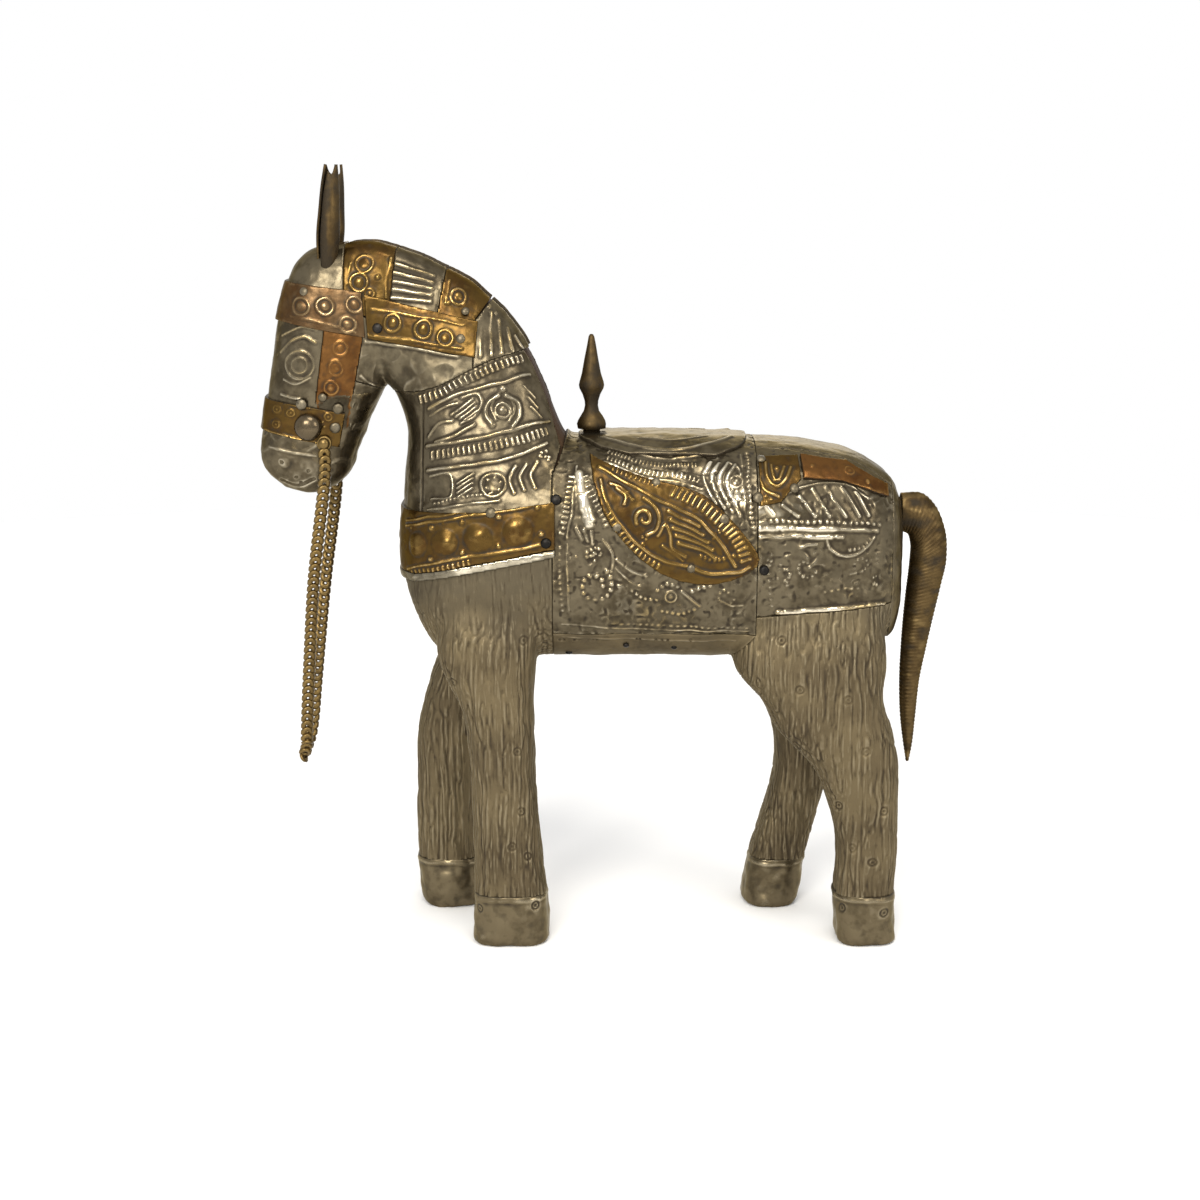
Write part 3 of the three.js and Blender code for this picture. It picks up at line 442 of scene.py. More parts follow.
class Relief:
    """Heights of the embossing at the points of one sheet, drawn on the left side of the horse."""

    def __init__(self, points):
        drawn = points * (1, 0, 1) - np.abs(points) * (0, 1, 0)
        turned = drawn @ OBLIQUE
        self.points = drawn + WANDER * drift(turned * WANDER_OFTEN, WANDER_SEEDS)
        self.force = FORCE + FORCE_SWING * grain(turned * FORCE_OFTEN, FORCE_SEED)
        self.height = np.zeros(len(points))
        # Painted highlights: patches that raise the tone, so that the finishes paint them bright
        self.shine = np.zeros(len(points))

    def near(self, line, reach):
        """Which points lie in the box round a line."""
        low, high = line.min(0) - reach, line.max(0) + reach
        return np.flatnonzero(((self.points > low) & (self.points < high)).all(1))

    def along(self, points, reach):
        """The points near a drawn line, how far off it and how far along it they are, and its length."""
        line = traced(points)
        where = self.near(line, reach)
        return (where, *nearest_on(self.points[where], line))

    def around(self, centre, reach):
        """The points near a drawn place, and how far from it they are."""
        place = on_carving(centre)
        where = self.near(place[None], reach)
        return where, np.linalg.norm(self.points[where] - place, axis=1)

    def put(self, where, height):
        """Keeps the stronger of the old and the new stroke."""
        old = self.height[where]
        self.height[where] = np.where(np.abs(height) > np.abs(old), height, old)

    def line(self, points, width, height):
        """A plain ridge, or a groove where the height is negative."""
        width = width * RIDGE_WIDTH
        where, d, _, _ = self.along(points, width)
        self.put(where, height * RIDGE_HEIGHT * bump(d / width))

    def painted_highlight(self, points, width, amount):
        """A painted highlight: a patch along a line whose colour is painted bright."""
        where, d, _, _ = self.along(points, width)
        self.shine[where] = np.maximum(self.shine[where], amount * bump(d / width))

    def beads(self, points, pitch, radius, height):
        """A row of beads along a line."""
        radius = radius * RIDGE_WIDTH
        where, d, at, length = self.along(points, radius)
        pitch = length / max(1, round(length / pitch))
        off = np.abs((at + pitch / 2) % pitch - pitch / 2)
        self.put(where, height * bump(np.hypot(d, off) / radius))

    def hatch(self, points, half, pitch, height):
        """A band of short bars across a line."""
        where, d, at, length = self.along(points, half + HATCH_REACH)
        bars = 0.5 - 0.5 * np.cos(2 * np.pi * at * max(1, round(length / pitch)) / length)
        edge = np.clip((half - d) / HATCH_EDGE, 0, 1)
        self.put(where, height * (HATCH_GROUND + bars**HATCH_SHARP) * edge)

    def boss(self, centre, radius, height, sharp=1.0):
        """A round boss, or a pit where the height is negative."""
        where, d = self.around(centre, radius)
        self.put(where, height * np.sqrt(bump(d / radius)) ** sharp)

    def ring(self, centre, radius, width, height):
        """A ring with a boss inside it, or a sunk mark where the height is negative."""
        where, d = self.around(centre, radius + width)
        inside = RING_BOSS * height * np.sqrt(bump(d / (radius * RING_BOSS_SIZE)))
        stronger = np.maximum if height > 0 else np.minimum
        self.put(where, stronger(RING_EDGE * height * bump((d - radius) / width), inside))

    def scatter(self, centre, reach, count, radius, height, seed):
        """A loose group of beads. The reach is in picture units."""
        rng = np.random.default_rng(seed)
        for angle, share in zip(rng.uniform(0, 2 * np.pi, count), np.sqrt(rng.uniform(0, 1, count))):
            spot = (centre[0] + reach * share * np.cos(angle), centre[1] + reach * share * np.sin(angle))
            self.boss(spot, radius, height)

    def curl(self, centre, radius, start, turns, bead, height, pitch, inner):
        """A scroll of beads that winds in from its radius, in picture units, to an inner share of it."""
        t = np.linspace(0, 1, CURL_POINTS)
        angle = start + turns * 2 * np.pi * t
        far = radius * (1 - (1 - inner) * t)
        points = [(centre[0] + r * np.cos(a), centre[1] + r * np.sin(a)) for r, a in zip(far, angle)]
        self.beads(points, pitch, bead, height)


def inside_outline(points, outline):
    """Which of the points lie inside a closed outline in the side view."""
    inside = np.zeros(len(points), bool)
    x, z = points[:, 0], points[:, 1]
    for (ax, az), (bx, bz) in zip(outline, outline[1:] + outline[:1]):
        if az != bz:
            inside ^= ((az > z) != (bz > z)) & (x < ax + (z - az) * (bx - ax) / (bz - az))
    return inside


def grown(outline, by):
    """An outline moved outwards by a distance."""
    points = np.array(outline, float)
    following = np.roll(points, -1, 0)
    turn = np.sign(np.sum(points[:, 0] * following[:, 1] - following[:, 0] * points[:, 1]))
    ahead = following - points
    ahead /= np.linalg.norm(ahead, axis=1)[:, None]
    behind = np.roll(ahead, 1, 0)
    out = turn * np.stack([ahead[:, 1] + behind[:, 1], -ahead[:, 0] - behind[:, 0]], 1)
    out /= (1 + np.sum(ahead * behind, 1))[:, None]
    return [tuple(p) for p in points + by * out]


# Cutting: how near a point counts as on the cut, which faces a cut reaches, and what is kept round it
CUT_NEAR = 0.06
CUT_REACH = 1.2
KEPT_ROUND = 1
SHEET_ROUNDS = 2


def cut_sheet(outline, low, high):
    """The part of the carving's skin inside an outline of the side view and between two values of y."""
    bm = bmesh.new()
    bm.from_mesh(CARVING["mesh"])
    bm.faces.ensure_lookup_table()
    c = CARVING["centres"]
    corners = np.array(outline)
    least, most = corners.min(0) - KEPT_ROUND, corners.max(0) + KEPT_ROUND
    keep = (
        (c[:, 0] > least[0]) & (c[:, 0] < most[0]) & (c[:, 2] > least[1]) & (c[:, 2] < most[1])
        & (c[:, 1] > low - KEPT_ROUND) & (c[:, 1] < high + KEPT_ROUND))
    bmesh.ops.delete(bm, geom=[bm.faces[i] for i in np.flatnonzero(~keep)], context="FACES")
    near = CUT_REACH * CARVING["pitch"]

    def cut(faces, place, normal, **clear):
        edges = once(e for f in faces for e in f.edges)
        verts = once(v for f in faces for v in f.verts)
        bmesh.ops.bisect_plane(
            bm, geom=[*verts, *edges, *faces], dist=CUT_NEAR, plane_co=place, plane_no=normal, **clear)

    for y, way in ((low, -1), (high, 1)):
        if abs(y) < PAST:
            cut(bm.faces[:], (0, y, 0), (0, way, 0), clear_outer=True)
    for a, b in zip(outline, outline[1:] + outline[:1]):
        x0, x1 = min(a[0], b[0]) - near, max(a[0], b[0]) + near
        z0, z1 = min(a[1], b[1]) - near, max(a[1], b[1]) + near
        faces = []
        for f in bm.faces:
            p = f.verts[0].co
            if x0 < p.x < x1 and z0 < p.z < z1:
                faces.append(f)
        if faces:
            cut(faces, (a[0], 0, a[1]), (b[1] - a[1], 0, a[0] - b[0]))
    centres = np.array([f.calc_center_median() for f in bm.faces])[:, ::2]
    bm.faces.ensure_lookup_table()
    outside = np.flatnonzero(~inside_outline(centres, outline))
    bmesh.ops.delete(bm, geom=[bm.faces[i] for i in outside], context="FACES")
    bmesh.ops.subdivide_edges(bm, edges=bm.edges[:], cuts=1, use_grid_fill=True)
    smoothed(bm, [v for v in bm.verts if not v.is_boundary], SHEET_ROUNDS)
    return bm


# A sheet's edge: how far its first two rows of points are beaten down, its tone, and that of its skirt
EDGE_DROPS = (0.16, 0.04)
# The edge row and the skirt get low tones, which the finishes paint dark: partly dirt, partly painted shade
# in the gap under a sheet's edge
EDGE_TONE = -0.6
SKIRT_TONE = -1.0
FAR_INSIDE = 9
# Tone is height over the surroundings, as a share of this depth. The surroundings come from a blur.
TONE_DEPTH = 0.12
BLUR_ROUNDS = 10
BLUR_KEPT = 0.4


def emboss(bm, lift, skirt, draw, relief, texture):
    """Raises the sheet to its layer, embosses it and turns its edge down. Returns the tone of each point."""
    bm.normal_update()
    bm.verts.index_update()
    points = np.array([v.co for v in bm.verts])
    normals = np.array([v.normal for v in bm.verts])
    ends = np.array([[v.index for v in e.verts] for e in bm.edges])
    work = Relief(points)
    if draw:
        draw(work)
    height = work.height * work.force * relief
    if texture:
        height = height + texture(work.points)
    level = np.full(len(points), FAR_INSIDE)
    level[[v.index for v in bm.verts if v.is_boundary]] = 0
    for _ in EDGE_DROPS:
        for a, b in (ends.T, ends.T[::-1]):
            np.minimum.at(level, a, level[b] + 1)
    for row, drop in enumerate(EDGE_DROPS):
        height = height - np.where(level == row, drop, 0)
    count = np.bincount(ends.ravel(), minlength=len(points))
    blurred = height.copy()
    for _ in range(BLUR_ROUNDS):
        total = np.bincount(ends[:, 0], blurred[ends[:, 1]], len(points))
        total += np.bincount(ends[:, 1], blurred[ends[:, 0]], len(points))
        blurred = BLUR_KEPT * blurred + (1 - BLUR_KEPT) * total / np.maximum(count, 1)
    # The finishes paint low tone dark, as dirt and painted shade, and high tone bright, as wear and painted
    # highlight
    tone = np.clip((height - blurred) / TONE_DEPTH, -1, 1) + work.shine
    tone = np.where(level == 0, EDGE_TONE, tone)
    moved = points + normals * (lift + height)[:, None]
    face = bm.verts[:]
    rim = [e for e in bm.edges if e.is_boundary]
    owner_at = {tuple(v.co): v.index for e in rim for v in e.verts}
    made = bmesh.ops.extrude_edge_only(bm, edges=rim)["geom"]
    under = [g for g in made if isinstance(g, bmesh.types.BMVert)]
    owners = [owner_at[tuple(v.co)] for v in under]
    for v, owner in zip(under, owners):
        v.co = moved[owner] - normals[owner] * skirt
    for v, place in zip(face, moved):
        v.co = place
    bm.verts.index_update()
    # The skirt is painted darkest: painted shade under the sheet's edge, with dirt
    tones = np.full(len(bm.verts), SKIRT_TONE)
    tones[[v.index for v in face]] = tone
    return tones


# Finishes

class Value:
    """A shader socket. Sums on it add Math nodes."""

    def __init__(self, tree, socket):
        self.tree = tree
        self.socket = socket

    def math(self, operation, first, second):
        return Finish.add(self.tree, "ShaderNodeMath", {"operation": operation}, {0: first, 1: second})

    def __add__(self, other):
        return self.math("ADD", self, other)

    def __sub__(self, other):
        return self.math("SUBTRACT", self, other)

    def __rsub__(self, other):
        return self.math("SUBTRACT", other, self)

    def __mul__(self, other):
        return self.math("MULTIPLY", self, other)

    __radd__ = __add__
    __rmul__ = __mul__


# Sockets of a Mix node that mixes colours
MIX_FACTOR, MIX_FIRST, MIX_SECOND = 0, 6, 7
MIX_RESULT = 2
# Sockets of a Map Range node after its value
FROM_LOW, FROM_HIGH, TO_LOW, TO_HIGH = 1, 2, 3, 4
SURFACE_SOCKETS = {
    "colour": "Base Color", "rough": "Roughness", "metal": "Metallic", "normal": "Normal",
    "edge": "Specular Tint", "shine": "Specular IOR Level",
}


class Finish:
    """A procedural material on the piece's own coordinates."""

    def __init__(self, name):
        self.material = bpy.data.materials.new(name)
        self.material.use_nodes = True
        self.tree = self.material.node_tree
        self.surface = self.tree.nodes["Principled BSDF"]

    @staticmethod
    def add(tree, kind, settings=None, sockets=None, output=0):
        """Any node: its settings first, then the values or links of its sockets."""
        node = tree.nodes.new(kind)
        for key, value in (settings or {}).items():
            setattr(node, key, value)
        for key, value in (sockets or {}).items():
            Finish.fill(tree, node.inputs[key], value)
        return Value(tree, node.outputs[output])

    @staticmethod
    def fill(tree, socket, value):
        """Links a socket, or sets it where the value is a constant."""
        if isinstance(value, Value):
            tree.links.new(value.socket, socket)
        else:
            socket.default_value = value

    def node(self, kind, settings=None, sockets=None, output=0):
        return self.add(self.tree, kind, settings, sockets, output)

    def place(self, stretch=(1, 1, 1)):
        """The piece's own coordinates in metres."""
        own = self.node("ShaderNodeTexCoord", output="Object")
        return self.node("ShaderNodeMapping", {}, {"Vector": own, "Scale": stretch})

    def noise(self, scale, detail, stretch=(1, 1, 1)):
        """Noise from 0 to 1, about 0.5."""
        sockets = {"Vector": self.place(stretch), "Scale": scale, "Detail": detail, "Roughness": 0.55}
        return self.node("ShaderNodeTexNoise", {}, sockets)

    def mix(self, factor, first, second):
        """A colour between two others."""
        settings = {"data_type": "RGBA", "blend_type": "MIX", "clamp_factor": True}
        sockets = {MIX_FACTOR: factor, MIX_FIRST: first, MIX_SECOND: second}
        return self.node("ShaderNodeMix", settings, sockets, MIX_RESULT)

    def span(self, value, low, high, to_low=0.0, to_high=1.0):
        """A value moved from one range to another and held there."""
        sockets = {"Value": value, FROM_LOW: low, FROM_HIGH: high, TO_LOW: to_low, TO_HIGH: to_high}
        return self.node("ShaderNodeMapRange", {"clamp": True}, sockets)

    def tone(self):
        """Height of the embossing over its surroundings, from -1 to 1, and more where a highlight is
        painted.
        """
        settings = {"attribute_type": "GEOMETRY", "attribute_name": "tone"}
        return self.node("ShaderNodeAttribute", settings, output="Fac")

    def height(self):
        """Height over the ground."""
        return self.node("ShaderNodeSeparateXYZ", {}, {"Vector": self.place()}, "Z")

    def dents(self, height, depth, strength):
        return self.node("ShaderNodeBump", {}, {"Strength": strength, "Distance": depth, "Height": height})

    def set(self, **sockets):
        """Sets or links sockets of the surface. Returns the material."""
        for key, value in sockets.items():
            self.fill(self.tree, self.surface.inputs[SURFACE_SOCKETS[key]], value)
        return self.material


EDGE_TINT = (0.58, 0.53, 0.43, 1)
DULL_EDGE_TINT = (0.8, 0.74, 0.6, 1)
# A painted glint: a near-white colour made from a finish's worn colour, by this gain and rise
GLINT_GAIN = 1.5
GLINT_RISE = 0.12
DENT_DEPTH = 0.0003
LEG_DENT_DEPTH = 0.0004
# Height over the ground where the legs' colour changes to that of chest and haunch, and how uneven it is
LEG_TOP_LOW = 0.078
LEG_TOP_HIGH = 0.094
LEG_TOP_UNEVEN = 0.03
# Leg colours. The worn colour is painted on the tops of the chased lines, partly wear and partly painted
# highlight; the dirt colour in their grooves and stains, partly dirt and partly painted shade
LEG_WORN = (0.23, 0.19, 0.12, 1)
LEG_TARNISH = (0.085, 0.064, 0.036, 1)
LEG_TOP = (0.082, 0.068, 0.045, 1)
LEG_DIRT_AND_SHADE = (0.028, 0.019, 0.01, 1)
WOOD_DARK = (0.025, 0.012, 0.007, 1)
WOOD_PALE = (0.075, 0.045, 0.024, 1)
# Golden patches on the worn tops of the white metal: a painted warm reflection
WHITE_WARM_REFLECTION = (0.36, 0.265, 0.12, 1)
DOME_FACE = (0.095, 0.072, 0.043, 1)
IRON_WORN = (0.05, 0.045, 0.04, 1)


def aged_metal(name, face, worn, tarnish, dirt_and_shade, gloss, dull, edge, warm_reflection=None):
    """Old embossed metal: worn bright on its tops, open on its face and dirty in its hollows, with painted
    highlight on the tops and painted shade in the hollows.
    """
    f = Finish(name)
    tone = f.tone()
    broad = f.noise(75, 4)
    patch = f.noise(260, 3)
    fine = f.noise(560, 3)
    # Worn tops, partly wear and partly painted highlight, from the tone
    wear_and_highlight_share = f.span(tone + (fine - 0.5) * 0.6 + (broad - 0.5) * 1.8, 0.25, 1.25)
    # Painted glint on the highest tops and on the painted highlight patches
    glint_share = f.span(tone + (broad - 0.5) * 1.6 + (patch - 0.5) * 1.2, 0.9, 1.7)
    glint = [min(1, GLINT_GAIN * channel + GLINT_RISE) for channel in worn[:3]] + [1]
    # Dark hollows, partly dirt and partly painted shade, from the tone
    dirt_and_shade_share = f.span(0 - tone + (fine - 0.5) * 0.9 + (patch - 0.5) * 0.8, 0.0, 0.62)
    shade = f.mix(f.span(broad + (patch - 0.5) * 0.7, 0.42, 0.66, 0, 0.8), face, tarnish)
    # Painted warm reflection: golden patches mixed into the worn colour
    if warm_reflection is not None:
        worn = f.mix(f.span(f.noise(60, 2), 0.45, 0.6), worn, warm_reflection)
    shade = f.mix(glint_share, f.mix(wear_and_highlight_share, shade, worn), glint)
    shade = f.mix(dirt_and_shade_share * 0.9, shade, dirt_and_shade)
    rough = f.span(wear_and_highlight_share - dirt_and_shade_share + (fine - 0.5) * 0.5, -0.8, 0.8, dull, gloss)
    metal = f.span(dirt_and_shade_share, 0.2, 1.0, 0.93, 0.45)
    hammer = fine * 0.4 + patch * 0.6
    return f.set(colour=shade, rough=rough, metal=metal, edge=edge, normal=f.dents(hammer, DENT_DEPTH, 0.4))


def leg_metal(colours):
    """Dull white metal with chased upright lines, browned along them, with painted shade in their grooves
    and painted highlight on their tops.
    """
    f = Finish("dull_leg_metal")
    tone = f.tone()
    broad = f.noise(70, 4)
    streak = f.noise(420, 3, (1, 1, 0.12))
    fine = f.noise(700, 2)
    stain = f.noise(210, 4)
    # Stains and streaks, and painted shade in the grooves from the tone
    dirt_and_shade_amount = 0 - tone * 0.8 + (streak - 0.5) * 1.6 + (broad - 0.5) * 0.9 + (stain - 0.5) * 1.7
    dirt_and_shade_share = f.span(dirt_and_shade_amount, 0.15, 0.95)
    # Tops of the chased lines, partly wear and partly painted highlight
    wear_and_highlight_share = f.span(tone + (fine - 0.5) * 0.7, 0.25, 1.1, 0, 0.75)
    shade = f.mix(f.span(broad, 0.4, 0.65), colours.leg, LEG_TARNISH)
    height = f.height() + (broad - 0.5) * LEG_TOP_UNEVEN
    shade = f.mix(f.span(height, LEG_TOP_LOW, LEG_TOP_HIGH, 0, 0.75), shade, LEG_TOP)
    shade = f.mix(wear_and_highlight_share, shade, LEG_WORN)
    shade = f.mix(dirt_and_shade_share * 0.95, shade, LEG_DIRT_AND_SHADE)
    rough = f.span(wear_and_highlight_share - dirt_and_shade_share + (fine - 0.5) * 0.3, -0.8, 0.8, 0.66, 0.36)
    dents = f.dents(streak * 0.7 + fine * 0.3, LEG_DENT_DEPTH, 0.4)
    metal = f.span(dirt_and_shade_share, 0.2, 1, 0.8, 0.4)
    return f.set(colour=shade, rough=rough, metal=metal, edge=DULL_EDGE_TINT, normal=dents)


def bare_wood(colours):
    """Old dark wood, with its grain along the horse."""
    f = Finish("bare_wood")
    lines = f.noise(160, 5, (0.18, 1, 0.18))
    pores = f.noise(900, 3, (0.1, 1, 0.1))
    broad = f.noise(45, 3)
    shade = f.mix(f.span(lines, 0.35, 0.68), colours.wood, WOOD_DARK)
    shade = f.mix(f.span(broad, 0.5, 0.75, 0, 0.5), shade, WOOD_PALE)
    rough = f.span(pores, 0.3, 0.7, 0.55, 0.8)
    dents = f.dents(lines * 0.6 + pores * 0.4, DENT_DEPTH, 0.5)
    return f.set(colour=shade, rough=rough, shine=0.06, normal=dents)


def plain_metal(name, face, worn, dirt_and_shade, gloss, dull):
    """Metal with no embossing of its own: darker where it is old, brighter where it is worn."""
    f = Finish(name)
    broad = f.noise(120, 4)
    fine = f.noise(800, 3)
    shade = f.mix(f.span(broad + (fine - 0.5) * 0.5, 0.5, 0.8), face, worn)
    shade = f.mix(f.span(fine + (broad - 0.5) * 0.6, 0.52, 0.8, 0, 0.8), shade, dirt_and_shade)
    rough = f.span(fine + broad, 0.6, 1.4, gloss, dull)
    dents = f.dents(fine * 0.5 + broad * 0.5, DENT_DEPTH, 0.35)
    return f.set(colour=shade, rough=rough, metal=0.9, normal=dents)


# Embossed finishes: the material's name, its tarnish, and the roughness of its worn tops and of its hollows
EMBOSSED = {
    "white": ("aged_white_metal", (0.05, 0.039, 0.023, 1), 0.13, 0.46),
    "brass": ("embossed_brass", (0.06, 0.03, 0.009, 1), 0.15, 0.42),
    "copper": ("embossed_copper", (0.075, 0.036, 0.013, 1), 0.18, 0.46),
    "amber": ("embossed_amber", (0.075, 0.03, 0.009, 1), 0.16, 0.44),
    "bronze": ("dark_bronze", (0.05, 0.032, 0.014, 1), 0.35, 0.6),
    "hoof": ("hoof_sheet", (0.09, 0.07, 0.04, 1), 0.2, 0.42),
    "muzzle": ("muzzle_sheet", (0.075, 0.059, 0.036, 1), 0.3, 0.55),
    "edge": ("rolled_edge", (0.1, 0.085, 0.058, 1), 0.15, 0.34),
}
EDGE_TINTS = {"hoof": DULL_EDGE_TINT, "muzzle": DULL_EDGE_TINT}
FINISHES = {}


def make_finishes(colours):
    """Makes every finish from the colours that a user may change."""
    dirt_and_shade = colours.dirt_and_shade
    for key, (name, tarnish, gloss, dull) in EMBOSSED.items():
        face = getattr(colours, key)
        worn = getattr(colours, key + "_worn")
        warm_reflection = WHITE_WARM_REFLECTION if key == "white" else None
        edge = EDGE_TINTS.get(key, EDGE_TINT)
        FINISHES[key] = aged_metal(name, face, worn, tarnish, dirt_and_shade, gloss, dull, edge, warm_reflection)
    for key, name, face, worn, gloss, dull in (
            ("chain", "chain_brass", colours.chain, colours.brass_worn, 0.25, 0.45),
            ("dome", "polished_dome", DOME_FACE, colours.leg, 0.15, 0.3),
            ("nail", "nail_heads", colours.white, colours.white_worn, 0.3, 0.5),
            ("iron", "black_nails", colours.iron, IRON_WORN, 0.3, 0.5)):
        FINISHES[key] = plain_metal(name, face, worn, dirt_and_shade, gloss, dull)
    FINISHES["leg"] = leg_metal(colours)
    FINISHES["wood"] = bare_wood(colours)


# Borders of the sheets in the side view, as they are drawn in the frame

SEAM = 0.5
BARREL_FRONT = -13.0
BARREL_REAR = 38.0
RUMP_SEAM = 72.8
CREST_REAR = -9.0
CREST_STRIP = 10.0
BELLY_STRIP = 8.0
BELLY_TOP = BELLY + BELLY_STRIP - BACK
BELLY_REAR = 31.0
FLANK_FOOT = BELLY_TOP - 7
HOOF_HEIGHT = 13.0
HOOF_TOP = HOOF_HEIGHT - BACK
HOOF_FOOT = 0.4 - BACK
UNDER_BELLY = BELLY_TOP - 22
COLLAR_TOP = [(-PAST, -20), (-31.5, -17.2), (BARREL_FRONT + SEAM, -14.6)]
COLLAR_DEPTH = 15.5
COLLAR_FOOT = [(-PAST, -33.8), (-47.5, -33.3), (BARREL_FRONT + SEAM, -26.3)]
COLLAR_EDGE = 1.9
HAUNCH = [(BARREL_REAR + SEAM, BELLY_TOP + 4.8), (RUMP_SEAM, BELLY_TOP + 7.6)]
RUMP_FOOT = BELLY_TOP - 4
NECK_TOP = [
    (-70, 11), (-55.5, 11.2), (-47, 11.9), (-41.5, 13.6), (-33.5, 17.7), (-28.9, 19.9), (-20.6, 22.3)]
BROW_MIDDLE = [(-PAST, 41.1), (-80.3, 34.3)]
NOSE_MIDDLE = [(-PAST, 14), (-86, 5.7)]
# Lines under the plates of the neck and through the noseband: start, height there, drop, and its run
STRAP_LINE = (-60.6, 31, 6, 27.7)
NOSE_LINE = (-86, 5.7, 3.6, 19.2)


def raised(line, by):
    """A line of the side view, moved up."""
    return [(x, z + by) for x, z in line]


def sloped(line, x, shift):
    """The place on a falling line at x, shifted up."""
    start, height, drop, run = line
    return (x, height - drop * (x - start) / run + shift)


def strap_top(x):
    return sloped(STRAP_LINE, x, SEAM / 2)


def nose_at(x, shift):
    return sloped(NOSE_LINE, x, shift)


def under_collar(shift):
    """The line along the middle of the collar, where the sheets under it meet."""
    return [(min(x, BARREL_FRONT - SEAM), z) for x, z in raised(COLLAR_TOP, shift - COLLAR_DEPTH / 2)]


